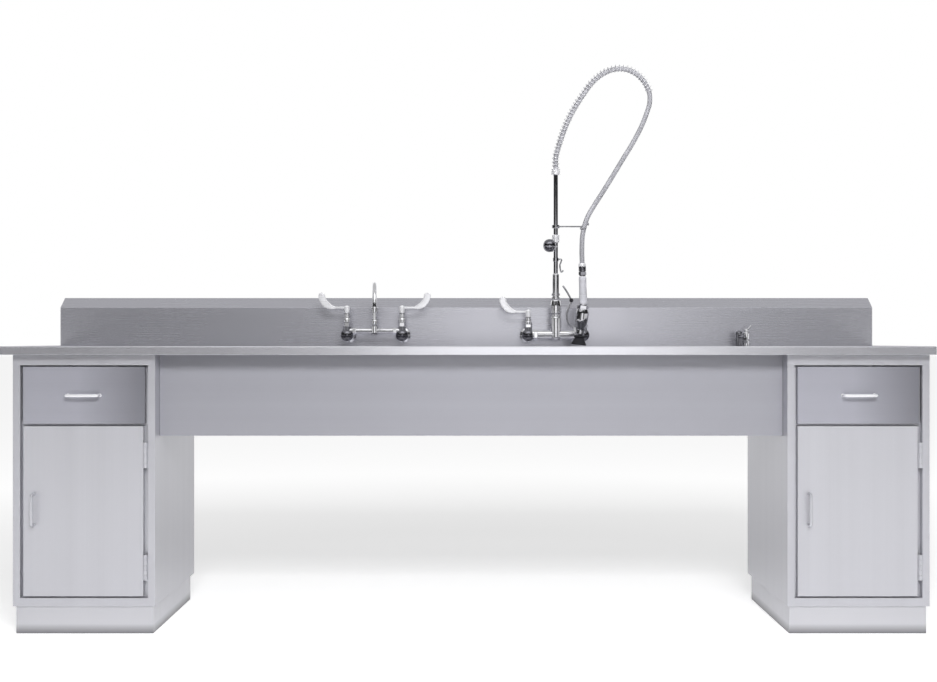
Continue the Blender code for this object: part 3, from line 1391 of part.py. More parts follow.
def build_deck_tap(chrome):
    """The lever tap on the deck: a plate with the valve column, a swivel spout and a lever."""
    half = DECK_TAP_SPACING / 2
    x = HALF_LENGTH - DECK_TAP_END_DISTANCE
    y = SPLASH_PLANE - DECK_TAP_SETBACK
    base = DECK + FIT
    plate_outline = rounded_rectangle(
        DECK_TAP_SPACING + 2 * DECK_TAP_PLATE_RADIUS, 2 * DECK_TAP_PLATE_RADIUS, DECK_TAP_PLATE_RADIUS * 0.98
    )
    plate = extruded(plate_outline, 0.0, DECK_TAP_PLATE_HEIGHT, along_z)
    radius = DECK_TAP_COLUMN_RADIUS
    top = DECK_TAP_COLUMN_TOP
    column = [(0.0, 0.0), (radius, 0.0), (radius, top * 0.94), (DECK_TAP_HUB_RADIUS, top), (0.0, top)]
    valve = moved(turned(column, SMALL_SIDES), (half, 0.0, 0.0))
    place("deck_tap_body", joined(plate, valve), chrome, location=(x, y, base))
    low = DECK_TAP_PLATE_HEIGHT + FIT
    high = DECK_TAP_SPOUT_TOP
    post = [(0.0, low), (radius, low), (radius, high * 0.9), (radius * 0.6, high), (0.0, high)]
    rise = DECK_TAP_SPOUT_RISE
    bend = DECK_TAP_SPOUT_BEND
    line = [(0.0, 0.0, rise)]
    corner = arc((bend - DECK_TAP_SPOUT_REACH, rise - bend), bend, math.pi / 2, math.pi, CORNER_STEPS)
    line += [(0.0, a, b) for a, b in corner]
    line.append((0.0, -DECK_TAP_SPOUT_REACH, rise - DECK_TAP_SPOUT_DROP))
    spout = joined(turned(post, SMALL_SIDES), pipe(line, DECK_TAP_SPOUT_RADIUS))
    place("deck_tap_spout", spout, chrome, pivot("deck_tap_spout_axis", (x - half, y, base)))
    hub_top = DECK_TAP_HUB_HEIGHT
    hub_radius = DECK_TAP_HUB_RADIUS
    hub = [(0.0, 0.0), (hub_radius, 0.0), (hub_radius, hub_top * 0.7)]
    hub += [(hub_radius * 0.6, hub_top), (0.0, hub_top)]
    stick = pipe(
        [(0.0, 0.0, hub_top / 2), (DECK_TAP_LEVER_REACH, 0.0, DECK_TAP_LEVER_RISE)], DECK_TAP_LEVER_RADIUS
    )
    lever_axis = pivot("deck_tap_lever_axis", (x + half, y, base + top + FIT))
    place("deck_tap_lever", joined(turned(hub, SMALL_SIDES), stick), chrome, lever_axis)


def main():
    """Builds the whole station."""
    clear_scene()
    steel = finish("brushed_steel", (0.50, 0.50, 0.54), 0.32, 1.0)
    satin = finish("satin_steel", (0.58, 0.58, 0.61), 0.38, 1.0)
    bright = finish("bright_steel", (0.72, 0.72, 0.75), 0.20, 1.0)
    chrome = finish("chrome", (0.80, 0.80, 0.83), 0.06, 1.0)
    braid = finish("braided_hose", (0.52, 0.52, 0.56), 0.40, 0.8)
    grip_rubber = finish("grip_rubber", (0.62, 0.62, 0.66), 0.55, 0.0)
    black_rubber = finish("black_rubber", (0.02, 0.02, 0.022), 0.50, 0.0)
    build_counter(steel)
    build_splash(steel)
    for side, x in (("left", -BOWL_OFFSET), ("right", BOWL_OFFSET)):
        build_bowl(f"sink_bowl_{side}", x, steel)
        build_drain(f"sink_drain_{side}", x, chrome)
    build_rail("front_rail", FRONT_RAIL_REAR - RAIL_WIDTH, steel)
    build_rail("rear_rail", REAR_RAIL_FRONT, steel)
    build_apron(steel)
    build_cabinets(satin, steel, bright)
    build_faucet(chrome)
    build_prerinse(chrome, braid, grip_rubber, black_rubber)
    build_deck_tap(chrome)


main()
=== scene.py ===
"""Finishes, fittings, hose and studio of a decontamination sink station, over its packed frame."""

import math

import bmesh
import bpy
from mathutils import Matrix, Vector


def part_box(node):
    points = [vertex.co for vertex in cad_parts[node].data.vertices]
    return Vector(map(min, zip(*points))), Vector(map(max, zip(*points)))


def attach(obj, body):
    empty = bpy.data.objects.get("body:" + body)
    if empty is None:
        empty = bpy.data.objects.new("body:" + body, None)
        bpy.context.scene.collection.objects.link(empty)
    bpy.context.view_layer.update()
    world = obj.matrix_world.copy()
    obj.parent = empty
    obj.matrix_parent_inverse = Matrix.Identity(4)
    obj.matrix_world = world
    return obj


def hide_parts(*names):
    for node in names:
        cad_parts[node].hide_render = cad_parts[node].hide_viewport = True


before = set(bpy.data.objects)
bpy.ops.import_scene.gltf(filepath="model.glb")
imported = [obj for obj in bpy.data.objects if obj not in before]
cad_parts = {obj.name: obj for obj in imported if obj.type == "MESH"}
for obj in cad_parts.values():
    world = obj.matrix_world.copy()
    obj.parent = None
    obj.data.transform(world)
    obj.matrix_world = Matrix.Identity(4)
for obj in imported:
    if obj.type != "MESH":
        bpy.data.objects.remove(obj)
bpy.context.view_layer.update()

bl_info = {
    "name": "Decontamination Sink Station",
    "version": (1, 0, 0),
    "blender": (4, 5, 0),
    "location": "3D View > Sidebar > Sink Station",
    "description": "Dresses a sink station with steel, chrome, a braided hose and a plain studio",
    "category": "Object",
}

FIT = 0.0003
ON_AXIS = 1e-7
WELD = 1e-6
HEX = 6
SIDES = ("left", "right")

# The hose's run from the top of the riser, in metres
HOSE_RUN = (
    (0.000, 0.000, 0.000),
    (0.000, 0.000, 0.020),
    (0.000, 0.000, 0.040),
    (0.009, -0.001, 0.077),
    (0.025, -0.003, 0.126),
    (0.045, -0.006, 0.176),
    (0.068, -0.010, 0.221),
    (0.102, -0.017, 0.274),
    (0.139, -0.025, 0.321),
    (0.184, -0.034, 0.352),
    (0.234, -0.043, 0.362),
    (0.279, -0.051, 0.349),
    (0.315, -0.058, 0.317),
    (0.336, -0.064, 0.273),
    (0.338, -0.068, 0.235),
    (0.328, -0.073, 0.199),
    (0.305, -0.079, 0.142),
    (0.273, -0.086, 0.082),
    (0.236, -0.094, 0.022),
    (0.199, -0.102, -0.039),
    (0.162, -0.111, -0.098),
    (0.130, -0.119, -0.148),
    (0.107, -0.132, -0.187),
    (0.094, -0.141, -0.223),
    (0.086, -0.147, -0.262),
    (0.084, -0.150, -0.311),
    (0.085, -0.150, -0.356),
)
RUN_STEPS = 14
PATH_STEP = 0.036
SPRING_END = 13
HOOK_HOLD = 23

# The squeeze lever's line from its pivot, sideways and up, in metres
LEVER_LINE = (
    (0.000, 0.000),
    (-0.015, 0.012),
    (-0.025, 0.030),
    (-0.026, 0.050),
    (-0.021, 0.070),
    (-0.012, 0.088),
    (-0.009, 0.101),
    (-0.020, 0.126),
    (-0.037, 0.154),
)
LEVER_KNOB = 6


def colour(name, description, grey, blue):
    """A grey with its own share of blue that a user may change."""
    tone = (grey, grey, blue)
    return bpy.props.FloatVectorProperty(
        name=name, description=description, default=tone, subtype="COLOR", size=3, min=0.0, max=1.0
    )


def number(name, description, default, **kind):
    """A number that a user may change."""
    return bpy.props.FloatProperty(name=name, description=description, default=default, **kind)


def length(name, description, default):
    """A length in metres that a user may change."""
    return number(name, description, default, unit="LENGTH", min=0.0, precision=4)


def share(name, description, default):
    """A share of one that a user may change."""
    return number(name, description, default, subtype="FACTOR", min=0.0, max=1.0)


class StationFinishes(bpy.types.PropertyGroup):
    """Colours and gloss of the station's metals, hose and rubber."""

    counter_steel: colour("Counter steel", "Brushed sheet of the counter", 0.66, 0.705)
    deck_steel: colour("Splash steel", "Brushed sheet of the splash", 0.56, 0.61)
    apron_steel: colour("Apron steel", "Brushed sheet of the apron and rails", 0.36, 0.40)
    bowl_steel: colour("Bowl steel", "Satin drawn steel of the bowls", 0.56, 0.59)
    frame_steel: colour("Frame steel", "Brushed sheet of the cabinet bodies", 0.54, 0.58)
    # The drawer fronts' tone is darker than the doors' same steel: painted shade.
    drawer_steel: colour("Drawer steel", "Brushed sheet of the drawer fronts", 0.41, 0.465)
    door_steel: colour("Door steel", "Brushed sheet of the doors", 0.57, 0.61)
    plinth_steel: colour("Plinth steel", "Satin sheet of the plinths", 0.62, 0.655)
    inside_steel: colour("Inside steel", "Mill finish inside the cabinets", 0.50, 0.525)
    bright_steel: colour("Bright steel", "Polished drains and spray face", 0.84, 0.865)
    pull_steel: colour("Pull steel", "Satin drawer pulls, wrist blades and riser fittings", 0.90, 0.93)
    chrome: colour("Chrome", "Plating of the riser and the spray valve", 0.57, 0.60)
    # Bright chrome is the chrome plating made paler: painted highlight.
    bright_chrome: colour("Bright chrome", "Plating of the bonnets, tubes and swan neck", 0.90, 0.93)
    # Dark chrome is the chrome plating made darker: painted dark reflection.
    dark_chrome: colour("Dark chrome", "Plating of the round housings", 0.24, 0.265)
    spring_wire: colour("Spring wire", "Bright wire round the hose", 0.88, 0.91)
    sheath: colour("Sheath", "Braided sheath of the hose", 0.52, 0.56)
    grip: colour("Grip", "Moulded sleeve of the spray valve", 0.66, 0.71)
    rubber: colour("Rubber", "Nozzle and lever knob", 0.022, 0.024)
    brushed_gloss: share("Brushed roughness", "Roughness of the brushed sheet", 0.34)
    chrome_gloss: share("Chrome roughness", "Roughness of the plating", 0.07)


class TapSizes(bpy.types.PropertyGroup):
    """Sizes of the two wall taps."""

    centres: length("Valve centres", "Between the two valves", 0.2032)
    reach: length("Reach", "From the splash to the valves", 0.085)
    bulb: length("Bulb radius", "Round valve housing", 0.023)
    bonnet: length("Bonnet radius", "Turned bonnet over the housing", 0.0135)
    bonnet_top: length("Bonnet top", "Top of the bonnet over the valve's centre", 0.081)
    rinse_bonnet_top: length("Pre-rinse bonnet top", "Top of the pre-rinse tap's bonnets", 0.066)
    tube: length("Cross tube radius", "Tube between the valves", 0.010)
    tube_rise: length("Cross tube rise", "Tube over the valves' centres", 0.015)
    bar: length("Bar radius", "Heavier cross tube of the pre-rinse tap", 0.0165)
    bar_rise: length("Bar rise", "Heavier tube over the valves' centres", 0.001)
    column_drop: length("Column drop", "Middle fitting below the valves' centres", 0.019)
    flange: length("Flange radius", "Round cover on the splash", 0.028)
    shank: length("Shank radius", "Threaded supply behind the splash", 0.0105)
    column: length("Column radius", "Middle fitting under the riser", 0.020)
    column_top: length("Column top", "Top of the middle fitting over the valves' centres", 0.128)
    blade_bend: length("Blade bend", "Radius of the wrist blade's curve", 0.050)
    blade_half: length("Blade half width", "Half of the paddle's width", 0.0125)
    blade_arm: length("Blade arm", "Arm before the blade curves up", 0.044)


class HoseSizes(bpy.types.PropertyGroup):
    """Sizes of the pre-rinse hose, its spring and the spray valve."""

    hose: length("Hose radius", "Outside of the braided sheath", 0.0087)
    hose_length: length("Hose length", "Along the hose from riser to ferrule", 1.313)
    spring: length("Spring radius", "Middle of the wire from the spring's line", 0.0122)
    spring_lean: length("Spring lean", "How far the spring lies outside the hose's line", 0.0020)
    wire: length("Wire radius", "Spring wire", 0.0014)
    curls: bpy.props.IntProperty(name="Curls", description="Turns of the spring", default=46, min=4)
    ferrule: length("Ferrule radius", "Crimped end of the hose", 0.0135)
    ferrule_length: length("Ferrule length", "Crimped end of the hose", 0.046)
    grip: length("Grip radius", "Sleeve over the valve's stem", 0.015)
    grip_length: length("Grip length", "Sleeve over the valve's stem", 0.100)
    valve: length("Valve radius", "Widest part of the spray valve", 0.023)
    valve_length: length("Valve length", "Spray valve between grip and nozzle", 0.112)
    valve_lean: number("Valve lean", "Lean of the valve under its grip", math.radians(8.2), subtype="ANGLE")
    collar: length("Collar radius", "Rubber collar over the nozzle", 0.020)
    collar_height: length("Collar height", "Rubber collar over the nozzle", 0.008)
    bell: length("Bell radius", "Mouth of the nozzle", 0.027)
    bell_height: length("Bell height", "From the collar to the nozzle's mouth", 0.026)
    lug_drop: length("Lug drop", "From the grip down to the lever's pin", 0.086)


class StudioSettings(bpy.types.PropertyGroup):
    """Camera, lamps and paper of the plain studio."""

    camera_place: bpy.props.FloatVectorProperty(
        name="Camera place", description="Where the camera stands", default=(0.008, -4.753, 0.957),
        subtype="TRANSLATION", unit="LENGTH",
    )
    focal: number("Focal length", "Lens in millimetres", 51.9, unit="CAMERA")
    key_power: number("Key", "Soft lamp at the front", 300.0, unit="POWER")
    top_power: number("Top", "Soft lamp overhead", 25.0, unit="POWER")
    fill: share("Fill", "Even light from all round", 0.16)
    glow: share("Glow", "Shine of the paper under the station, for the camera and gloss", 0.56)
    paper: colour("Paper", "Floor and backdrop", 0.90, 0.90)


# Materials


class Tree:
    """A new material or world, with short calls that add nodes and join them."""

    def __init__(self, name, world=False):
        self.owner = (bpy.data.worlds if world else bpy.data.materials).new(name)
        self.owner.use_nodes = True
        self.nodes = self.owner.node_tree.nodes
        self.nodes.clear()
        self.output = self.nodes.new("ShaderNodeOutputWorld" if world else "ShaderNodeOutputMaterial")

    def add(self, kind, inputs=None, **settings):
        """A new node with its settings and the values or outputs for its inputs."""
        node = self.nodes.new(f"ShaderNode{kind}")
        for key, value in settings.items():
            setattr(node, key, value)
        for key, value in (inputs or {}).items():
            if isinstance(value, bpy.types.NodeSocket):
                self.owner.node_tree.links.new(value, node.inputs[key])
            else:
                node.inputs[key].default_value = value
        return node

    def place(self, kind="Object"):
        """Coordinates on the surface."""
        return self.add("TexCoord").outputs[kind]

    def tint(self, factor, tone, *stops):
        """A colour ramp over a factor: each stop is a place and how bright the tone is there."""
        ramp = self.add("ValToRGB", {"Fac": factor})
        elements = ramp.color_ramp.elements
        while len(elements) < len(stops):
            elements.new(0.5)
        for element, (spot, level) in zip(elements, stops):
            element.position = spot
            element.color = (*(min(1.0, part * level) for part in tone), 1.0)
        return ramp.outputs["Color"]

    def span(self, value, low, high, least, most):
        """A value in low to high mapped onto least to most."""
        ranged = self.add("MapRange", {"Value": value, 1: low, 2: high, 3: least, 4: most})
        return ranged.outputs["Result"]

    def maths(self, operation, *values):
        """The result of an operation on values."""
        return self.add("Math", dict(enumerate(values)), operation=operation).outputs["Value"]

    def noise(self, coordinates, scale, detail, stretch=(1.0, 1.0, 1.0)):
        """Noise over coordinates, stretched by a mapping."""
        mapped = self.add("Mapping", {"Vector": coordinates, "Scale": stretch})
        clouds = self.add("TexNoise", {"Vector": mapped.outputs["Vector"], "Scale": scale, "Detail": detail})
        return clouds.outputs["Fac"]

    def close(self, shader):
        """Joins the shader to the surface."""
        self.owner.node_tree.links.new(shader, self.output.inputs["Surface"])
        return self.owner

    def skin(self, base, roughness, relief, metal=0.0):
        """Closes the material with a colour, a roughness and a relief of strength, depth and height."""
        strength, depth, height = relief
        bump = self.add("Bump", {"Strength": strength, "Distance": depth, "Height": height})
        inputs = {"Base Color": base, "Metallic": metal, "Roughness": roughness}
        inputs["Normal"] = bump.outputs["Normal"]
        return self.close(self.add("BsdfPrincipled", inputs).outputs["BSDF"])


def brushed(name, tone, extra, grain, metal=0.55, painted_shade=None):
    """Brushed sheet steel: fine scratches and soft bands along the grain, and faint hand marks.

    Extra is added to the sheet's roughness. A painted shade is an axis, two places along it in shares of the
    sheet,
    and how bright the steel is at each: shade painted into the colour as a gradient.
    """
    roughness = bpy.context.scene.station_finishes.brushed_gloss + extra
    tree = Tree(name)
    place = tree.place()
    along = tuple(0.0015 if axis == grain else 1.0 for axis in "XYZ")
    scratches = tree.noise(place, 900.0, 3.0, along)
    bands = tree.noise(place, 18.0, 2.0, along)
    marks = tree.noise(place, 3.0, 4.0)
    blend = tree.maths("MULTIPLY_ADD", scratches, 0.6, bands)
    base = tree.tint(blend, tone, (0.55, 0.975), (0.80, 1.0), (1.0, 1.02))
    # Painted shade: the steel's colour is scaled darker along one axis of the sheet.
    if painted_shade:
        axis, first, last, before, after = painted_shade
        shares = tree.add("SeparateXYZ", {"Vector": tree.place("Generated")})
        level = tree.span(shares.outputs[axis], first, last, before, after)
        base = tree.add("VectorMath", {0: base, "Scale": level}, operation="SCALE").outputs["Vector"]
    gloss = tree.span(scratches, 0.3, 0.7, roughness - 0.012, roughness + 0.015)
    smear = tree.span(marks, 0.35, 0.7, -0.012, 0.02)
    return tree.skin(base, tree.maths("ADD", gloss, smear), (0.006, 0.0002, scratches), metal)


def plated(name, tone, extra):
    """Bright plating: water marks in the gloss and a faint unevenness."""
    roughness = bpy.context.scene.station_finishes.chrome_gloss + extra
    tree = Tree(name)
    place = tree.place()
    marks = tree.noise(place, 38.0, 5.0)
    ripple = tree.noise(place, 160.0, 2.0)
    base = tree.tint(marks, tone, (0.30, 0.90), (0.62, 1.0), (0.85, 1.06))
    gloss = tree.span(marks, 0.35, 0.75, max(0.02, roughness - 0.03), roughness + 0.07)
    return tree.skin(base, gloss, (0.03, 0.0006, ripple), 1.0)


def woven(name, tone):
    """Braided sheath: two sets of strands that cross at a slant, dark between them."""
    tree = Tree(name)
    around = tree.place("UV")
    strands = []
    for slant in (-math.radians(38), math.radians(38)):
        mapped = tree.add("Mapping", {"Vector": around, "Rotation": (0.0, 0.0, slant)}).outputs["Vector"]
        waves = {"Vector": mapped, "Scale": 64.0, "Distortion": 0.4, "Detail": 1.0}
        strands.append(tree.add("TexWave", waves, wave_profile="SIN").outputs["Fac"])
    weave = tree.maths("MAXIMUM", *strands)
    shade = tree.maths("MULTIPLY", weave, tree.noise(tree.place(), 30.0, 4.0))
    base = tree.tint(shade, tone, (0.10, 0.55), (0.38, 0.94), (0.70, 1.08))
    gloss = tree.span(weave, 0.0, 1.0, 0.60, 0.42)
    return tree.skin(base, gloss, (0.5, 0.0005, weave), 0.3)


def moulded(name, tone, roughness, grain):
    """Moulded rubber or plastic: pebbled skin, dulled and paler where hands rub it."""
    tree = Tree(name)
    place = tree.place()
    pebbles = tree.noise(place, grain, 4.0)
    rubbed = tree.noise(place, 34.0, 4.0)
    base = tree.tint(rubbed, tone, (0.30, 0.82), (0.60, 1.0), (0.85, 1.20))
    gloss = tree.span(rubbed, 0.3, 0.75, roughness - 0.08, roughness + 0.12)
    return tree.skin(base, gloss, (0.25, 0.0004, pebbles))


# Each finish: what makes it, the part's slot, its colour, and what else its maker asks for
FINISHES = {
    "brushed_counter": (brushed, "brushed_steel", "counter_steel", -0.12, "X", 0.85),
    "brushed_deck": (brushed, "brushed_steel", "deck_steel", -0.08, "X", 0.75),
    "brushed_apron": (brushed, "brushed_steel", "apron_steel", 0.0, "X", 0.3),
    "satin_bowl": (brushed, "satin_steel", "bowl_steel", 0.06, "X"),
    "brushed_frame": (brushed, "brushed_steel", "frame_steel", 0.0, "Z"),
    # Drawer fronts: darker tone, and a painted shade that darkens from the sheet's middle towards its +X end.
    "brushed_drawer": (brushed, "brushed_steel", "drawer_steel", 0.0, "X", 0.4, ("X", 0.45, 1.0, 1.0, 0.52)),
    "brushed_door": (brushed, "brushed_steel", "door_steel", 0.04, "Z"),
    # Plinths: painted shade darkens the lowest 35 percent of the plinth towards the floor.
    "satin_plinth": (brushed, "satin_steel", "plinth_steel", 0.10, "X", 0.55, ("Z", 0.0, 0.35, 0.32, 1.0)),
    "mill_inside": (brushed, "satin_steel", "inside_steel", 0.14, "Y"),
    "satin_pull": (brushed, "bright_steel", "pull_steel", -0.06, "X", 0.4),
    "spring_wire": (brushed, "chrome", "spring_wire", -0.04, "X", 0.4),
    "polished_steel": (plated, "bright_steel", "bright_steel", 0.10),
    "chrome_plate": (plated, "chrome", "chrome", 0.0),
    # The same chrome made darker for housings, breaker, ferrule and swan post: painted dark reflection.
    "chrome_dark": (plated, "chrome", "dark_chrome", 0.03),
    # The same chrome made paler for bonnets, tubes, sleeve, spout and levers: painted highlight.
    "chrome_bright": (plated, "chrome", "bright_chrome", 0.09),
    "braided_sheath": (woven, "braided_hose", "sheath"),
    "grip_sleeve": (moulded, "grip_rubber", "grip", 0.45, 700.0),
    "black_rubber": (moulded, "black_rubber", "rubber", 0.48, 500.0),
}


def finish(key):
    """The station's finish of that name, made the first time that it is asked for."""
    if key in bpy.data.materials:
        return bpy.data.materials[key]
    maker, slot, tone, *rest = FINISHES[key]
    return maker(key, getattr(bpy.context.scene.station_finishes, tone), *rest)


# Mesh helpers


def eased(profile, radius):
    """A turned profile with its inner corners rounded off.

    A point held close to each side of a corner lets the straights between corners shade straight.
    """
    points = [Vector(profile[0])]
    for before, corner, after in zip(profile, profile[1:], profile[2:]):
        corner = Vector(corner)
        back = Vector(before) - corner
        onward = Vector(after) - corner
        reach = min(radius, back.length * 0.3, onward.length * 0.3)
        start = corner + back.normalized() * reach
        end = corner + onward.normalized() * reach
        held = reach * 1.5
        points += [corner + back.normalized() * held, start, start * 0.25 + corner * 0.5 + end * 0.25]
        points += [end, corner + onward.normalized() * held]
    return points + [Vector(profile[-1])]


def spun(shape, profile, place, sides):
    """Adds a profile of radius and height, spun round its axis."""
    rings = []
    for radius, height in profile:
        if radius < ON_AXIS:
            rings.append([shape.verts.new(place @ Vector((0.0, 0.0, height)))])
            continue
        ring = []
        for index in range(sides):
            angle = math.tau * index / sides
            spot = Vector((radius * math.cos(angle), radius * math.sin(angle), height))
            ring.append(shape.verts.new(place @ spot))
        rings.append(ring)
    for lower, upper in zip(rings, rings[1:]):
        for index in range(sides):
            after = (index + 1) % sides
            spots = [lower[index % len(lower)], lower[after % len(lower)]]
            spots += [upper[after % len(upper)], upper[index % len(upper)]]
            spots = list(dict.fromkeys(spots))
            if len(spots) > 2:
                shape.faces.new(spots)


def turned(shape, place, sides, ease, *profile):
    """Adds a turned part: radii and heights with eased corners, closed on the axis at both ends."""
    points = [(0.0, profile[0][1]), *profile]
    if profile[-1][0]:
        points.append((0.0, profile[-1][1]))
    spun(shape, eased(points, ease), place, sides)


def carried(line, hint):
    """The side direction at each point of a line, carried along it without twist."""
    sides = []
    side = Vector(hint)
    for index in range(len(line)):
        before = line[max(index - 1, 0)]
        after = line[min(index + 1, len(line) - 1)]
        tangent = (after - before).normalized()
        side = (side - tangent * side.dot(tangent)).normalized()
        sides.append((side, tangent.cross(side)))
    return sides


def bulged(part, squared):
    """A sine or cosine whose round section is squared towards a plate with soft edges."""
    return math.copysign(abs(part) ** squared, part)


def runs_of(line):
    """The distance along a line at each of its points."""
    runs = [0.0]
    for before, after in zip(line, line[1:]):
        runs.append(runs[-1] + (after - before).length)
    return runs


def swept(
    shape, line, half, sides, flat=None, hint=(0.0, -1.0, 0.0), place=Matrix(), wrap=None, squared=1.0
):
    """Adds a tube along a line: half is its radius, or one at each point, flat its other half width."""
    line = [Vector(point) for point in line]
    halves = half if isinstance(half, list) else [half] * len(line)
    flats = flat if isinstance(flat, list) else [flat] * len(line)
    around = shape.loops.layers.uv.verify() if wrap else None
    runs = runs_of(line)
    rings = []
    for spot, (side, cross), wide, thin in zip(line, carried(line, hint), halves, flats):
        ring = []
        for index in range(sides):
            angle = math.tau * (index + 0.5) / sides
            out = side * wide * bulged(math.cos(angle), squared)
            out += cross * (thin or wide) * bulged(math.sin(angle), squared)
            ring.append(shape.verts.new(place @ (spot + out)))
        rings.append(ring)
    for step, (lower, upper) in enumerate(zip(rings, rings[1:])):
        for index in range(sides):
            after = (index + 1) % sides
            face = shape.faces.new((lower[index], lower[after], upper[after], upper[index]))
            if around:
                marks = ((index, step), (index + 1, step), (index + 1, step + 1), (index, step + 1))
                for loop, (turn, row) in zip(face.loops, marks):
                    loop[around].uv = (turn / sides * wrap, runs[row])
    shape.faces.new(rings[0][::-1])
    shape.faces.new(rings[-1])


def slab(shape, low, high, nose, place=Matrix()):
    """Adds a plate with softened edges between two corners."""
    low = Vector(low)
    high = Vector(high)
    made = bmesh.ops.create_cube(shape, size=1.0)["verts"]
    scale = Matrix.Diagonal((*(high - low), 1.0))
    bmesh.ops.transform(shape, matrix=Matrix.Translation((low + high) / 2) @ scale, verts=made)
    edges = list(dict.fromkeys(edge for vert in made for edge in vert.link_edges))
    bevelled = bmesh.ops.bevel(
        shape, geom=edges, offset=nose, segments=2, profile=0.5, affect="EDGES", clamp_overlap=True
    )
    touched = {vert for face in bevelled["faces"] for vert in face.verts}
    touched |= {vert for vert in made if vert.is_valid}
    bmesh.ops.transform(shape, matrix=place, verts=list(touched))


def facing(spot, direction):
    """A placement at a spot whose Z points along a direction."""
    turn = Vector((0.0, 0.0, 1.0)).rotation_difference(Vector(direction))
    return Matrix.Translation(spot) @ turn.to_matrix().to_4x4()


def curved(points, steps=8):
    """Close points on a smooth curve through a few points."""
    points = [Vector(point) for point in points]
    line = [points[0]]
    for index, (start, end) in enumerate(zip(points, points[1:])):
        before = points[max(index - 1, 0)]
        after = points[min(index + 2, len(points) - 1)]
        for step in range(1, steps + 1):
            t = step / steps
            a = start * 2.0
            b = (end - before) * t
            c = (before * 2.0 - start * 5.0 + end * 4.0 - after) * t * t
            d = (start * 3.0 - before - end * 3.0 + after) * t * t * t
            line.append((a + b + c + d) * 0.5)
    return line


def rounded(corners, radius, steps):
    """A line through corners whose turns are arcs of about that radius."""
    corners = [Vector(corner) for corner in corners]
    line = [corners[0]]
    for before, corner, after in zip(corners, corners[1:], corners[2:]):
        start = corner + (before - corner).normalized() * radius
        end = corner + (after - corner).normalized() * radius
        for step in range(steps + 1):
            t = step / steps
            line.append(start * (1 - t) ** 2 + corner * 2 * t * (1 - t) + end * t * t)
    return line + [corners[-1]]


def ball(radius, height=0.0, start=0.0, end=math.pi, steps=18):
    """The profile of a ball, or of part of one, about a height."""
    angles = [start + (end - start) * step / steps for step in range(steps + 1)]
    points = [(radius * math.sin(angle), height - radius * math.cos(angle)) for angle in angles]
    return [(0.0 if abs(across) < ON_AXIS else across, up) for across, up in points]


def dome_screw(shape, place, radius):
    """Adds a domed screw head with a straight slot."""
    rise = radius * 0.55
    profile = [(radius * 1.02, 0.0), (radius, rise * 0.4), (radius * 0.6, rise * 0.9), (0.0, rise)]
    spun(shape, eased(profile, rise), place, 20)
    corner = Vector((radius * 0.8, radius * 0.1, rise * 1.04))
    slab(shape, (-corner.x, -corner.y, rise * 0.62), corner, 1e-5, place)


def piece(name, shape, key, body, nodes=(), angle=38.0):
    """Turns a shape into a named piece with its finish, on its body and in place of its nodes."""
    bmesh.ops.remove_doubles(shape, verts=shape.verts, dist=WELD)
    bmesh.ops.recalc_face_normals(shape, faces=shape.faces)
    mesh = bpy.data.meshes.new(name)
    shape.to_mesh(mesh)
    shape.free()
    mesh.shade_smooth()
    mesh.set_sharp_from_angle(angle=math.radians(angle))
    mesh.materials.append(finish(key))
    made = bpy.data.objects.new(name, mesh)
    bpy.context.scene.collection.objects.link(made)
    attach(made, body)
    if nodes:
        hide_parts(*nodes)
    return made


def dress(key, nose, *nodes):
    """Gives CAD nodes a finish, and softened edges where a nose is given."""
    for node in nodes:
        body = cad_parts[node]
        for place in body.material_slots:
            place.material = finish(key)
        if nose:
            weld = body.modifiers.new("weld", "WELD")
            weld.merge_threshold = 0.00001
            edge = body.modifiers.new("softened edges", "BEVEL")
            edge.width = nose
            edge.segments = 2
            edge.limit_method = "ANGLE"
            edge.angle_limit = math.radians(40)


def tap_place(node):
    """The middle of a tap between its valves, from its node's box."""
    low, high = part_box(node)
    bulb = bpy.context.scene.tap_sizes.bulb
    return Vector(((low.x + high.x) / 2, low.y + bulb, low.z + bulb))


def hose_line():
    """Close points along the hose, and the index at which each point of its run falls."""
    low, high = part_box("prerinse_riser")
    tap = tap_place("prerinse_body")
    top = Vector((tap.x, tap.y, high.z + FIT))
    points = [top + Vector(offset) for offset in HOSE_RUN]
    line = [points[0]]
    marks = [0]
    for index, (start, end) in enumerate(zip(points, points[1:])):
        before = points[index - 1] if index else start - Vector((0.0, 0.0, 1.0))
        after = points[min(index + 2, len(points) - 1)]
        reach = (end - start).length / 3
        leave = (end - before).normalized() * reach if index else Vector((0.0, 0.0, reach))
        arrive = (after - start).normalized() * reach
        for step in range(1, RUN_STEPS):
            t = step / (RUN_STEPS - 1)
            first = start * (1 - t) ** 3 + (start + leave) * 3 * t * (1 - t) ** 2
            line.append(first + (end - arrive) * 3 * t * t * (1 - t) + end * t**3)
        marks.append(len(line) - 1)
    return line, marks


def evenly(line, spacing):
    """Points at even distances along a line, its two ends among them."""
    runs = runs_of(line)
    count = max(2, round(runs[-1] / spacing))
    points = []
    index = 0
    for step in range(count + 1):
        target = runs[-1] * step / count
        while index < len(line) - 2 and runs[index + 1] < target:
            index += 1
        part = (target - runs[index]) / (runs[index + 1] - runs[index])
        points.append(line[index].lerp(line[index + 1], part))
    return points


# Operators


class StationOperator:
    """What the station's operators share."""

    bl_options = {"REGISTER"}


class STATION_OT_sheet_steel(StationOperator, bpy.types.Operator):
    """Finishes the counter, splash, apron, rails and bowls"""

    bl_idname = "station.sheet_steel"
    bl_label = "Counter, splash and bowls"

    def execute(self, context):
        dress("brushed_counter", 0.0012, "countertop")
        dress("brushed_deck", 0.0012, "backsplash")
        dress("brushed_apron", 0.0008, "front_apron", "front_rail", "rear_rail")
        dress("satin_bowl", None, "sink_bowl_left", "sink_bowl_right")
        return {"FINISHED"}


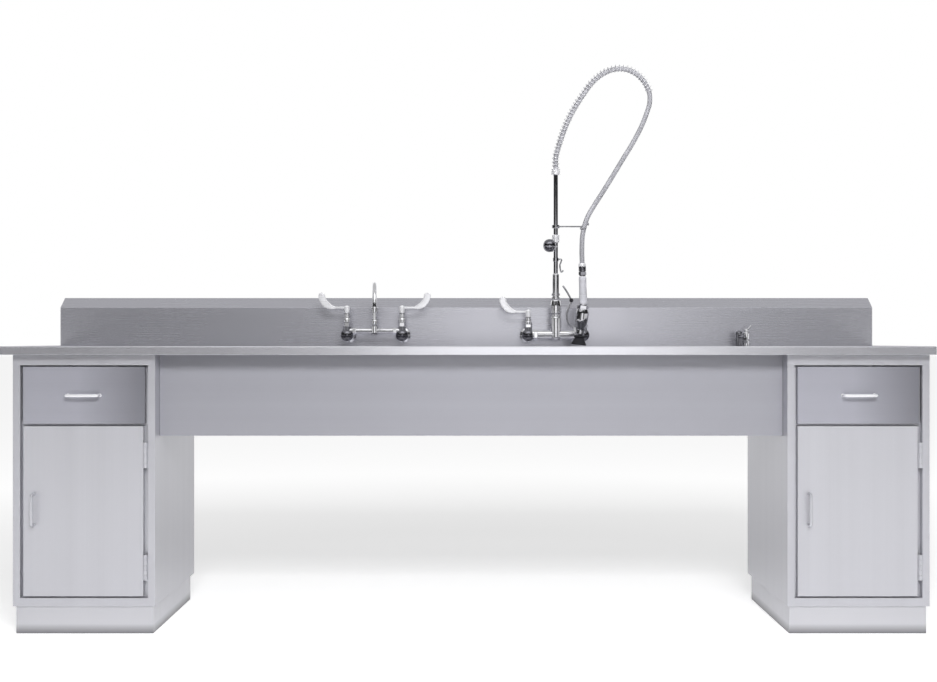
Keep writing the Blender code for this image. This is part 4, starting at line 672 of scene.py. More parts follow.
class STATION_OT_drains(StationOperator, bpy.types.Operator):
    """Finishes the drains and sets a strainer into each cup"""

    bl_idname = "station.drains"
    bl_label = "Drains and strainers"

    depth = 0.006
    rings = (0.0375, 0.0285, 0.0195)
    ring_width = 0.0035
    ring_height = 0.0018
    spokes = 8

    def execute(self, context):
        for side in SIDES:
            node = f"sink_drain_{side}"
            dress("polished_steel", None, node)
            low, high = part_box(node)
            middle = (low + high) / 2
            place = Matrix.Translation((middle.x, middle.y, high.z - self.depth))
            shape = bmesh.new()
            for radius in self.rings:
                inner = radius - self.ring_width
                ring = [(radius, 0.0), (radius, self.ring_height), (inner, self.ring_height), (inner, 0.0)]
                spun(shape, eased(ring + ring[:1], 0.0006), place, 48)
            for spoke in range(self.spokes):
                turn = place @ Matrix.Rotation(math.tau * spoke / self.spokes, 4, "Z")
                slab(shape, (0.006, -0.0014, 0.0001), (0.0365, 0.0014, 0.0017), 0.0004, turn)
            turned(shape, place, 40, 0.001, (0.0105, 0.0), (0.0105, 0.002), (0.004, 0.0034), (0.0, 0.0036))
            piece(f"strainer_{side}", shape, "polished_steel", "station")
        return {"FINISHED"}


class STATION_OT_cabinets(StationOperator, bpy.types.Operator):
    """Finishes the cabinets, their fronts, drawers, shelves and plinths"""

    bl_idname = "station.cabinets"
    bl_label = "Cabinets"

    inner = ("shelf", "slide_left", "slide_right", "drawer_box", "door_liner")
    free_gap = 0.0095
    hinge_gap = 0.0145
    foot_gap = 0.0045
    lap = 0.007
    nose = 0.0003

    def execute(self, context):
        for side in SIDES:
            dress("brushed_frame", 0.0010, f"{side}_cabinet")
            dress("satin_plinth", 0.0010, f"{side}_plinth")
            dress("brushed_drawer", 0.0014, f"{side}_drawer_front")
            dress("brushed_door", 0.0014, f"{side}_door_panel")
            dress("mill_inside", None, *(f"{side}_{name}" for name in self.inner))
            self.stops(side)
            self.flanges(side)
        return {"FINISHED"}

    def flanges(self, side):
        """Makes the turned-out flanges beside the drawer front's rear edge."""
        low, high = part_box(f"{side}_drawer_front")
        inner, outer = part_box(f"{side}_drawer_box")
        shape = bmesh.new()
        front = high.y - 0.0014
        rear = high.y - FIT
        slab(shape, (inner.x, front, low.z), (low.x - FIT, rear, high.z), self.nose)
        slab(shape, (high.x + FIT, front, low.z), (outer.x, rear, high.z), self.nose)
        piece(f"{side}_drawer_flanges", shape, "brushed_frame", f"{side}_drawer")

    def stops(self, side):
        """Makes the thin strips behind the door's edges that it closes on."""
        low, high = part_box(f"{side}_door_panel")
        front = high.y + 0.0012
        rear = front + 0.0015
        free_edge = low.x - self.free_gap + FIT
        hinge_edge = high.x + self.hinge_gap - FIT
        foot = low.z - self.foot_gap + FIT
        shape = bmesh.new()
        slab(shape, (free_edge, front, low.z), (low.x + self.lap, rear, high.z), self.nose)
        slab(shape, (high.x - self.lap, front, low.z), (hinge_edge, rear, high.z), self.nose)
        slab(shape, (free_edge, front, foot), (hinge_edge, rear, low.z - FIT), self.nose)
        piece(f"{side}_door_stops", shape, "brushed_door", "station")


class STATION_OT_pulls(StationOperator, bpy.types.Operator):
    """Bends the bar pulls of the drawers and doors"""

    bl_idname = "station.pulls"
    bl_label = "Pulls"

    def execute(self, context):
        for side in SIDES:
            self.bar(side, "drawer", Vector((1.0, 0.0, 0.0)), 0.006, "satin_pull")
            self.bar(side, "door", Vector((0.0, 0.0, 1.0)), 0.012, "brushed_door")
        return {"FINISHED"}

    def bar(self, side, front, along, bend, key):
        """Makes the pull of a front: a round bar along a direction, bent back to two feet."""
        node = f"{side}_{front}_pull"
        low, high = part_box(node)
        middle = (low + high) / 2
        radius = (high.x - low.x) / 2 if front == "door" else (high.z - low.z) / 2
        half = along * ((high - low).dot(along) / 2 - radius)
        root = Vector((middle.x, high.y, middle.z))
        out = Vector((0.0, low.y + radius - high.y, 0.0))
        corners = [root - half, root - half + out, root + half + out, root + half]
        shape = bmesh.new()
        swept(shape, rounded(corners, bend, 8), radius, 24, hint=along.cross(out))
        wide = radius * 1.25
        foot = [(wide, 0.0), (wide, 0.0012), (0.0, 0.0022)]
        for end in (corners[0], corners[-1]):
            turned(shape, facing(end, (0.0, -1.0, 0.0)), 28, 0.0006, *foot)
        piece(f"{side}_{front}_bar_pull", shape, key, f"{side}_{front}", (node,))


class STATION_OT_hinges(StationOperator, bpy.types.Operator):
    """Makes the butt hinges: rolled knuckles, leaves and their screws"""

    bl_idname = "station.hinges"
    bl_label = "Hinges"

    barrel = 0.006
    leaf = 0.003
    leaf_near = 0.00395
    leaf_depth = 0.018
    knuckles = 5
    screws = (0.2, 0.5, 0.8)
    screw = 0.0026

    def leaf_plate(self, shape, axis, low, high, side):
        """Adds a leaf beside the barrel and three screws on its open face."""
        near = side * self.leaf_near
        far = side * (self.leaf_near + self.leaf)
        slab(shape, (min(near, far), 0.0, low), (max(near, far), self.leaf_depth, high), 0.0005, axis)
        for rise in self.screws:
            spot = axis @ Vector((near, self.leaf_depth * 0.62, low + (high - low) * rise))
            dome_screw(shape, facing(spot, (-side, 0.0, 0.0)), self.screw)

    def execute(self, context):
        for side in SIDES:
            for level in ("upper", "lower"):
                fixed = f"{side}_hinge_{level}_frame_leaf"
                swung = f"{side}_hinge_{level}_door_leaf"
                low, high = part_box(fixed)
                axis = Matrix.Translation((high.x - self.leaf_near - self.leaf, low.y + self.barrel, 0.0))
                pitch = (high.z - low.z) / self.knuckles
                shapes = (bmesh.new(), bmesh.new())
                for index in range(self.knuckles):
                    foot = low.z + pitch * index
                    ends = ((self.barrel, foot + FIT), (self.barrel, foot + pitch - FIT))
                    turned(shapes[index % 2], axis, 28, 0.0007, *ends)
                self.leaf_plate(shapes[0], axis, low.z, high.z, 1)
                self.leaf_plate(shapes[1], axis, low.z, high.z, -1)
                piece(f"{side}_{level}_fixed_leaf", shapes[0], "brushed_frame", "station", (fixed,))
                piece(f"{side}_{level}_door_leaf", shapes[1], "brushed_door", f"{side}_door", (swung,))
        return {"FINISHED"}


class STATION_OT_tap_bodies(StationOperator, bpy.types.Operator):
    """Makes the two tap bodies with their valves, flanges and lock nuts"""

    bl_idname = "station.tap_bodies"
    bl_label = "Tap bodies"

    stem = 0.0105
    arm = 0.0125
    thread_turns = 19
    thread_pitch = 0.0022
    shank_end = 0.0445
    nut = 0.0175
    nut_height = 0.006
    washer = 0.019
    washer_height = 0.0012

    def valve(self, shape, bulbs, sizes, top, place):
        """Adds a round housing to the bulbs, and its bonnet and packing nut to the tap."""
        bonnet = sizes.bonnet
        neck = math.asin(bonnet / sizes.bulb)
        shoulder = sizes.bulb * math.cos(neck)
        tier = (top - shoulder) / 5
        seat = shoulder + tier
        housing = ball(sizes.bulb, 0.0, 0.0, math.pi - neck, 20)
        spun(bulbs, housing + [(bonnet, seat), (0.0, seat)], place, 48)
        wide = bonnet * 1.15
        lip = shoulder + tier * 2.3
        turned(shape, place, HEX, 0.001, (wide, seat), (wide, lip), (0.0, shoulder + tier * 2.4))
        collar = [(bonnet, lip), (bonnet, shoulder + tier * 3.1), (self.stem, shoulder + tier * 3.5)]
        turned(shape, place, 40, 0.0012, *collar, (self.stem, top))

    def supply(self, shape, sizes, place):
        """Adds an arm to the splash, its round cover, the shank and its lock nut."""
        face = sizes.reach - FIT
        flange = sizes.flange
        shank = sizes.shank
        arm = [(self.arm, 0.0), (self.arm, face - 0.012), (flange * 0.72, face - 0.0085)]
        turned(shape, place, 44, 0.002, *arm, (flange, face - 0.003), (flange, face))
        thread = [(0.0, face)]
        pitch = self.thread_pitch
        for turn in range(self.thread_turns):
            height = face + turn * pitch
            thread += [(shank, height + pitch * 0.3), (shank * 0.93, height + pitch * 0.8)]
        thread += [(shank * 0.9, face + self.shank_end), (0.0, face + self.shank_end)]
        spun(shape, thread, place, 32)
        back = face + 0.0025
        top = back + self.nut_height
        nut = [(shank, back), (self.nut, back), (self.nut, top), (shank, top)]
        spun(shape, eased(nut, 0.0008), place, HEX)
        under = back - self.washer_height
        washer = [(shank, under), (self.washer, under), (self.washer, back), (shank, back)]
        spun(shape, eased(washer, 0.0004), place, 40)

    def cross_tube(self, shape, middle, half, tube):
        """Adds the tube between the valves and its two union nuts."""
        across = Vector((half, 0.0, 0.0))
        swept(shape, [middle - across, middle + across], tube, 40)
        wide = tube * 1.2
        for side in (-1, 1):
            spot = middle + Vector((side * (half - 0.034), 0.0, 0.0))
            turned(shape, facing(spot, (side, 0.0, 0.0)), HEX, 0.0012, (wide, 0.0), (wide, 0.013))

    def column(self, shape, sizes, place):
        """Adds the pre-rinse tap's middle fitting under the riser."""
        wide = sizes.column
        waist = wide * 0.9
        low = -sizes.column_drop
        top = sizes.column_top
        profile = [(wide * 0.6, low), (wide, low / 2), (wide, top * 0.50), (waist, top * 0.53)]
        profile += [(waist, top * 0.60), (wide, top * 0.63), (wide, top * 0.86), (0.0165, top)]
        turned(shape, place, 48, 0.002, *profile)

    def execute(self, context):
        sizes = context.scene.tap_sizes
        half = sizes.centres / 2
        for name in ("faucet", "prerinse"):
            node = f"{name}_body"
            centre = tap_place(node)
            place = Matrix.Translation(centre)
            shape = bmesh.new()
            bulbs = bmesh.new()
            tube, lift, bonnet = sizes.tube, sizes.tube_rise, sizes.bonnet_top
            if name == "prerinse":
                tube, lift, bonnet = sizes.bar, sizes.bar_rise, sizes.rinse_bonnet_top
            for side in (-half, half):
                spot = centre + Vector((side, 0.0, 0.0))
                self.valve(shape, bulbs, sizes, bonnet, Matrix.Translation(spot))
                self.supply(shape, sizes, facing(spot, (0.0, 1.0, 0.0)))
            self.cross_tube(shape, centre + Vector((0.0, 0.0, lift)), half, tube)
            if name == "prerinse":
                self.column(shape, sizes, place)
            else:
                turned(shape, place, 44, 0.0015, (0.0125, 0.002), (0.0135, 0.008), (0.0135, 0.034))
            piece(f"{name}_valves", shape, "chrome_bright", "station", (node,))
            piece(f"{name}_valve_bulbs", bulbs, "chrome_dark", "station")
        return {"FINISHED"}


class STATION_OT_wrist_blades(StationOperator, bpy.types.Operator):
    """Makes the four wrist-blade handles"""

    bl_idname = "station.wrist_blades"
    bl_label = "Wrist blades"

    bearings = {
        "faucet_hot": math.pi,
        "faucet_cold": 0.0,
        "prerinse_hot": math.pi,
        "prerinse_cold": -math.pi / 2,
    }
    hub = ((0.0105, 0.0), (0.0105, 0.022), (0.0085, 0.0262), (0.0045, 0.027))
    screw_level = 0.0262
    arm_half = 0.0040
    arm_level = 0.020
    thickness = 0.0035
    sweep = math.radians(82)
    sweep_steps = 26
    tip_steps = 8
    tip_half = 0.0006

    def outline(self, sizes):
        """The blade's line from its hub, and half of its width at each point."""
        level = self.arm_level
        bend = sizes.blade_bend
        widest = sizes.blade_half
        line = [Vector((0.004, 0.0, level)), Vector((sizes.blade_arm * 0.6, 0.0, level))]
        halves = [self.arm_half, self.arm_half]
        for step in range(self.sweep_steps + 1):
            along = step / self.sweep_steps
            angle = self.sweep * along - math.pi / 2
            across = sizes.blade_arm + bend * math.cos(angle)
            line.append(Vector((across, 0.0, level + bend + bend * math.sin(angle))))
            widening = math.sin(min(1.0, along / 0.55) * math.pi / 2)
            halves.append(self.arm_half + (widest - self.arm_half) * widening)
        end = line[-1]
        heading = (end - line[-2]).normalized()
        for step in range(1, self.tip_steps + 1):
            turn = step / self.tip_steps * math.pi / 2
            line.append(end + heading * widest * math.sin(turn))
            halves.append(max(self.tip_half, widest * math.cos(turn)))
        return line, halves

    def execute(self, context):
        sizes = context.scene.tap_sizes
        line, halves = self.outline(sizes)
        flats = [min(self.thickness, half) for half in halves]
        for name, bearing in self.bearings.items():
            tap = tap_place(f"{name.split('_')[0]}_body")
            side = -1 if name.endswith("hot") else 1
            top = sizes.bonnet_top if name.startswith("faucet") else sizes.rinse_bonnet_top
            base = tap + Vector((side * sizes.centres / 2, 0.0, top + FIT))
            place = Matrix.Translation(base) @ Matrix.Rotation(bearing, 4, "Z")
            shape = bmesh.new()
            turned(shape, place, 40, 0.0012, *self.hub)
            swept(shape, line, halves, 32, flats, (0.0, 0.0, 1.0), place, squared=0.45)
            dome_screw(shape, place @ Matrix.Translation((0.0, 0.0, self.screw_level)), 0.0040)
            piece(f"{name}_blade", shape, "satin_pull", name, (f"{name}_handle",))
        return {"FINISHED"}


class STATION_OT_spout(StationOperator, bpy.types.Operator):
    """Bends the swan-neck spout with its swivel nut and outlet"""

    bl_idname = "station.spout"
    bl_label = "Swan-neck spout"

    bearing = math.radians(4)
    spread = 0.190
    bend_level = 0.051
    bend_steps = 40
    tube = 0.008

    def execute(self, context):
        low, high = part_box("faucet_spout")
        tap = tap_place("faucet_body")
        place = Matrix.Translation((tap.x, tap.y, low.z)) @ Matrix.Rotation(self.bearing, 4, "Z")
        bend = self.spread / 2
        line = [Vector((0.0, 0.0, 0.006))]
        for step in range(self.bend_steps + 1):
            angle = math.pi * step / self.bend_steps
            height = self.bend_level + bend * math.sin(angle)
            line.append(Vector((0.0, bend * math.cos(angle) - bend, height)))
        shape = bmesh.new()
        swept(shape, line, self.tube, 28, hint=(1.0, 0.0, 0.0), place=place)
        turned(shape, place, 44, 0.001, (0.0120, 0.0), (0.0120, 0.013), (0.0100, 0.0165), (0.0095, 0.020))
        rim = place @ Matrix.Translation((0.0, -self.spread, self.bend_level))
        tip = [(0.0082, -0.004), (0.0085, -0.011), (0.0115, -0.011), (0.0115, 0.006)]
        turned(shape, rim, 44, 0.0009, *tip, (0.0098, 0.008), (0.0098, 0.011))
        for inner in (0.0028, 0.0056):
            outer = inner + 0.0009
            spun(shape, [(inner, -0.0045), (outer, -0.0045), (outer, -0.0038), (inner, -0.0038)], rim, 28)
        piece("swan_neck_spout", shape, "chrome_bright", "faucet_swing", ("faucet_spout",))
        return {"FINISHED"}


class STATION_OT_riser(StationOperator, bpy.types.Operator):
    """Makes the riser with its rings, finger clip, vacuum breaker and hose hook"""

    bl_idname = "station.riser"
    bl_label = "Riser, breaker and hook"

    tube = 0.0085
    wide = 0.0165
    sleeve = 0.013
    sleeve_ring = 0.007
    boss_level = 0.1955
    boss_length = 0.016
    boss_bearing = math.radians(234)
    clip = ((0.0, 0.146), (0.021, 0.146), (0.0154, 0.1235), (0.0196, 0.101), (0.028, 0.1064))
    clip_wire = 0.0030
    breaker_radius = 0.024
    breaker_neck = 0.0095
    breaker_vents = 10
    hook_wire = 0.0028
    hook_room = 0.005
    hook_gap = math.radians(25)
    hook_tilt = math.radians(45)
    hook_steps = 48

    def execute(self, context):
        low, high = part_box("prerinse_riser")
        tap = tap_place("prerinse_body")
        base = Vector((tap.x, tap.y, low.z))
        place = Matrix.Translation(base)
        tall = high.z - low.z
        self.fittings(place, tall)
        shape = bmesh.new()
        turned(shape, place, 44, 0.0009, (self.tube, 0.094), (self.tube, tall - 0.021))
        bearing = Vector((math.cos(self.boss_bearing), math.sin(self.boss_bearing), 0.0))
        spot = base + Vector((0.0, 0.0, self.boss_level))
        boss = [(self.tube, 0.0), (self.tube, 0.0155), (0.0, self.boss_length)]
        turned(shape, facing(spot, bearing), 32, 0.0008, *boss)
        clip = curved([(x, 0.0, z) for x, z in self.clip])
        swept(shape, clip, self.clip_wire, 16, hint=(0, 1, 0), place=place)
        turned(shape, place, 36, 0.001, (0.0108, 0.139), (0.0108, 0.153))
        piece("riser_tube", shape, "chrome_plate", "station", ("prerinse_riser",))
        self.breaker(facing(spot + bearing * (self.boss_length + FIT), bearing))
        self.hook(context.scene, tap)
        return {"FINISHED"}

    def fittings(self, place, tall):
        """Makes the top nut and the tee, and the sleeve with its two rings at the foot."""
        tube, wide, sleeve, ring = self.tube, self.wide, self.sleeve, self.sleeve_ring
        shape = bmesh.new()
        nut = [(tube + FIT, tall - 0.022), (wide, tall - 0.020), (wide, tall - 0.008)]
        nut += [(0.0145, tall - 0.0065), (0.0145, tall - 0.004), (wide, tall - 0.003), (wide, tall)]
        turned(shape, place, 44, 0.0009, *nut)
        tee = [(tube, 0.208), (0.014, 0.210), (0.014, 0.236), (tube, 0.238)]
        spun(shape, eased(tee, 0.0012), place, 44)
        piece("riser_fittings", shape, "satin_pull", "station")
        shape = bmesh.new()
        foot = [(wide, 0.0), (wide, ring), (sleeve, ring), (sleeve, ring * 2), (wide, ring * 2)]
        foot += [(wide, ring * 3), (sleeve, ring * 3), (sleeve, 0.090), (tube + FIT, 0.096)]
        turned(shape, place, 44, 0.0009, *foot)
        piece("riser_sleeve", shape, "chrome_bright", "station")

    def breaker(self, place):
        """Makes the round vacuum breaker with its cap line and vents."""
        radius = self.breaker_radius
        neck = self.breaker_neck
        middle = 0.004 + math.sqrt(radius**2 - neck**2)
        profile = [(0.0, 0.0), (neck, 0.0), (neck, 0.003)]
        profile += ball(radius, middle, math.asin(neck / radius), math.pi * 0.62, 22)
        edge, height = profile[-1]
        profile += [(edge - 0.0009, height + 0.0004), (edge - 0.0009, height + 0.0012)]
        profile += ball(radius - 0.0004, middle, math.pi * 0.68, math.pi, 16)
        shape = bmesh.new()
        spun(shape, profile, place, 56)
        vent_angle = math.pi * 0.42
        across = radius * math.sin(vent_angle)
        up = middle - radius * math.cos(vent_angle)
        for vent in range(self.breaker_vents):
            turn = place @ Matrix.Rotation(math.tau * vent / self.breaker_vents, 4, "Z")
            knob = turn @ Matrix.Translation((across - 0.0005, 0.0, up))
            slab(shape, (-0.001, -0.0016, -0.0035), (0.0008, 0.0016, 0.0035), 0.0005, knob)
        piece("breaker_ball", shape, "chrome_dark", "station", ("vacuum_breaker",))

    def hook(self, scene, tap):
        """Makes the clamp on the riser and the open ring that holds the hose."""
        wire = self.hook_wire
        line, marks = hose_line()
        hold = line[marks[HOOK_HOLD]]
        level = Vector((tap.x, tap.y, hold.z))
        place = Matrix.Translation(level)
        shape = bmesh.new()
        clamp = Vector((0.0, 0.0, 0.010))
        collar = [(0.0088, -0.006), (0.0145, -0.006), (0.0145, 0.006), (0.0088, 0.006)]
        spun(shape, eased(collar + collar[:1], 0.001), Matrix.Translation(level + clamp), 44)
        flat = hold - level
        heading = flat.normalized()
        ring = scene.hose_sizes.hose + self.hook_room + wire
        swept(shape, [clamp + heading * 0.011, flat - heading * ring], wire, 20, hint=(0, 0, 1), place=place)
        start = math.atan2(flat.y, flat.x) + self.hook_gap
        tilt = Matrix.Rotation(self.hook_tilt, 3, heading)
        loop = []
        for step in range(self.hook_steps + 1):
            angle = start + (math.tau - 2 * self.hook_gap) * step / self.hook_steps
            loop.append(flat + tilt @ Vector((ring * math.cos(angle), ring * math.sin(angle), 0.0)))
        swept(shape, loop, wire, 20, hint=(0, 0, 1), place=place)
        for end in (loop[0], loop[-1]):
            spun(shape, ball(0.0034), place @ Matrix.Translation(end), 20)
        dome_screw(shape, facing(level + clamp - heading * 0.0138, -heading), 0.0032)
        piece("hose_hook_ring", shape, "chrome_plate", "station", ("hose_hook",))


class STATION_OT_spray(StationOperator, bpy.types.Operator):
    """Makes the spray valve: ferrule, grip, valve body, nozzle and squeeze lever"""

    bl_idname = "station.spray"
    bl_label = "Spray valve"

    lug_reach = 0.029
    eye = 0.0045
    pin = 0.0024
    pin_half = 0.0085
    neck = 0.014
    lever_half = 0.0075
    lever_flat = 0.0034
    lever_tip_steps = 6
    knob = 0.0072

    def execute(self, context):
        sizes = context.scene.hose_sizes
        line, marks = hose_line()
        path = evenly(line, PATH_STEP)
        hang = (path[-1] - path[-2]).normalized()
        tilt = -math.atan2(hang.x, -hang.z)
        root = Matrix.Translation(path[-1] + hang * FIT) @ Matrix.Rotation(tilt, 4, "Y")
        self.ferrule(sizes, root)
        grip_top = -sizes.ferrule_length - FIT
        self.grip(sizes, root @ Matrix.Translation((0.0, 0.0, grip_top)))
        valve_top = grip_top - sizes.grip_length - FIT
        upright = root @ Matrix.Translation((0.0, 0.0, valve_top))
        leaning = upright @ Matrix.Rotation(sizes.valve_lean, 4, "Y")
        self.valve(sizes, upright, leaning)
        self.nozzle(sizes, leaning @ Matrix.Translation((0.0, 0.0, -sizes.valve_length - FIT)))
        self.lever(upright @ Matrix.Translation((-self.lug_reach - FIT - self.eye, 0.0, -sizes.lug_drop)))
        return {"FINISHED"}

    def ferrule(self, sizes, place):
        """Makes the crimped hose end with its hexagon, and the cap where the hose enters."""
        wide = sizes.ferrule
        tall = sizes.ferrule_length
        neck = wide * 0.82
        shape = bmesh.new()
        profile = [(neck, -tall), (neck, -tall * 0.62)]
        for groove in range(3):
            height = -tall * (0.60 - groove * 0.12)
            profile += [(wide, height), (wide, height + tall * 0.08), (wide * 0.9, height + tall * 0.10)]
        turned(shape, place, 44, 0.0006, *profile, (wide * 0.9, -tall * 0.25))
        turned(shape, place, HEX, 0.0009, (wide, -tall * 0.92), (wide, -tall * 0.66))
        piece("hose_end", shape, "chrome_dark", "station", ("hose_ferrule",))
        crown = bmesh.new()
        turned(crown, place, 44, 0.0008, (wide, -tall * 0.26), (wide, -tall * 0.10), (neck, 0.0))
        piece("hose_end_cap", crown, "satin_pull", "station")

    def grip(self, sizes, place):
        """Makes the moulded sleeve with its shallow ribs."""
        wide = sizes.grip
        waist = wide * 0.9
        tall = sizes.grip_length
        shape = bmesh.new()
        profile = [(wide * 0.92, -tall), (wide, -tall * 0.985), (wide, -tall * 0.9)]
        for rib in range(12):
            height = -tall * (0.86 - rib * 0.062)
            bulge = waist + (wide - waist) * max(0.0, 0.9 - rib * 0.16)
            profile += [(bulge * 0.955, height), (bulge, height + tall * 0.018)]
            profile += [(bulge, height + tall * 0.040)]
        profile += [(waist, -tall * 0.08), (waist * 0.86, -tall * 0.01), (0.0, 0.0)]
        turned(shape, place, 44, 0.0008, *profile)
        piece("grip_sleeve_ribbed", shape, "grip_sleeve", "station", ("spray_grip",))

    def valve(self, sizes, upright, leaning):
        """Makes the leaning valve body, its swivel and nut, and the upright lug for the lever."""
        wide = sizes.valve
        tall = sizes.valve_length
        neck = self.neck
        shape = bmesh.new()
        profile = [(neck, -tall), (neck, -tall * 0.80), (wide * 0.92, -tall * 0.62), (wide, -tall * 0.5)]
        profile += [(wide, -tall * 0.27), (wide * 0.86, -tall * 0.16), (neck, -tall * 0.13)]
        turned(shape, leaning, 48, 0.004, *profile, (neck, -0.003), (neck / 2, -0.0015), (0.0, 0.0))
        turned(shape, leaning, HEX, 0.001, (wide * 0.88, -0.020), (wide * 0.88, -0.0045))
        spun(shape, ball(neck * 0.98, 0.0, 0.0, math.pi / 2, 12) + [(0.0, 0.0)], upright, 40)
        low = -sizes.lug_drop
        slab(shape, (-self.lug_reach, -0.006, low - 0.005), (-0.012, 0.006, low + 0.005), 0.0012, upright)
        spot = upright @ Matrix.Translation((-self.lug_reach - self.eye, 0.0, low))
        across = spot @ Matrix.Rotation(math.pi / 2, 4, "X")
        turned(shape, across, 20, 0.0006, (self.pin, -self.pin_half), (self.pin, self.pin_half))
        piece("spray_valve", shape, "chrome_plate", "station", ("spray_body",))

    def nozzle(self, sizes, place):
        """Makes the rubber collar, the bell and the perforated spray face."""
        ring = sizes.collar_height
        mouth = -ring - sizes.bell_height
        wide = sizes.collar
        bell = sizes.bell
        shape = bmesh.new()
        profile = [(0.018, mouth + 0.010), (0.0185, mouth), (bell, mouth), (bell, mouth + 0.003)]
        profile += [(bell * 0.80, mouth + 0.013), (bell * 0.58, -ring), (wide * 0.94, -ring)]
        profile += [(wide, -ring * 0.75), (wide, -ring * 0.4), (wide * 0.88, -ring * 0.12), (self.neck, 0.0)]
        turned(shape, place, 56, 0.002, *profile)
        piece("nozzle_bell", shape, "black_rubber", "station", ("spray_nozzle",))
        face = bmesh.new()
        level = mouth + 0.0060
        disc = [(0.0165, level), (0.0178, level + 0.0015), (0.0178, level + 0.0036)]
        turned(face, place, 40, 0.0008, *disc)
        for count, radius in ((6, 0.006), (12, 0.012)):
            for index in range(count):
                angle = math.tau * index / count
                spot = place @ Matrix.Translation((radius * math.cos(angle), radius * math.sin(angle), level))
                spun(face, [(0.0016, -0.0008), (0.0008, -0.0008), (0.0008, 0.0), (0.0016, 0.0)], spot, 12)
        piece("spray_face", face, "polished_steel", "station")

    def lever(self, place):
        """Makes the squeeze lever: a bent strip with a rolled eye, and its black knob."""
        half = self.lever_half
        across = Matrix.Rotation(math.pi / 2, 4, "X")
        shape = bmesh.new()
        eye = [(0.0025, -half), (self.eye, -half), (self.eye, half), (0.0025, half)]
        spun(shape, eased(eye + eye[:1], 0.0005), place @ across, 28)
        strip = curved([(x, 0.0, z) for x, z in LEVER_LINE])
        halves = [half] * len(strip)
        for step in range(self.lever_tip_steps):
            halves[-1 - step] = half * math.sin(math.radians(20 + step * 14))
        swept(shape, strip, halves, 24, self.lever_flat, (0.0, 1.0, 0.0), place)
        piece("squeeze_lever", shape, "chrome_plate", "spray_trigger", ("spray_lever",))
        x, z = LEVER_LINE[LEVER_KNOB]
        knob = bmesh.new()
        spun(knob, ball(self.knob, steps=20), place @ Matrix.Translation((x, -half, z)) @ across, 32)
        piece("lever_knob", knob, "black_rubber", "spray_trigger")


class STATION_OT_hose(StationOperator, bpy.types.Operator):
    """Lays the braided hose and winds its spring"""

    bl_idname = "station.hose"
    bl_label = "Hose and spring"

    sheath_step = 0.009
    per_turn = 24
    leaning_in = 0.3

    def execute(self, context):
        sizes = context.scene.hose_sizes
        line, marks = hose_line()
        path = evenly(line, PATH_STEP)
        shape = bmesh.new()
        swept(shape, evenly(line, self.sheath_step), sizes.hose, 24, wrap=math.tau * sizes.hose)
        hose = piece("braided_hose", shape, "braided_sheath", "station", ("prerinse_hose",))
        tuple(path[0])
        [tuple(point) for point in path]
        coil = bmesh.new()
        swept(coil, self.helix(sizes, line[: marks[SPRING_END] + 1]), sizes.wire, 10)
        piece("hose_spring", coil, "spring_wire", "station", ("prerinse_spring",), 60.0)
        return {"FINISHED"}

    def helix(self, sizes, line):
        """The spring's wire round the first stretch of the hose, with a straight end on the collar."""
        straight = 2 * sizes.wire
        rise = Vector((0.0, 0.0, straight))
        wound = [line[0] + rise] + [spot for spot, run in zip(line, runs_of(line)) if run > straight]
        count = sizes.curls * self.per_turn
        stretch = evenly(wound, runs_of(wound)[-1] / count)
        middle = sum(stretch, Vector()) / len(stretch)
        points = []
        for index, (spot, (side, cross)) in enumerate(zip(stretch, carried(stretch, (0.0, -1.0, 0.0)))):
            angle = math.tau * index / self.per_turn
            lean = sizes.spring_lean * min(1.0, index / (self.leaning_in * count))
            outward = side * side.dot(spot - middle) + cross * cross.dot(spot - middle)
            around = side * math.cos(angle) + cross * math.sin(angle)
            points.append(spot + outward.normalized() * lean + around * sizes.spring)
        ending = (stretch[-1] - stretch[-2]).normalized() * straight
        return [points[0] - rise, points[0] - rise / 2] + points + [points[-1] + ending]


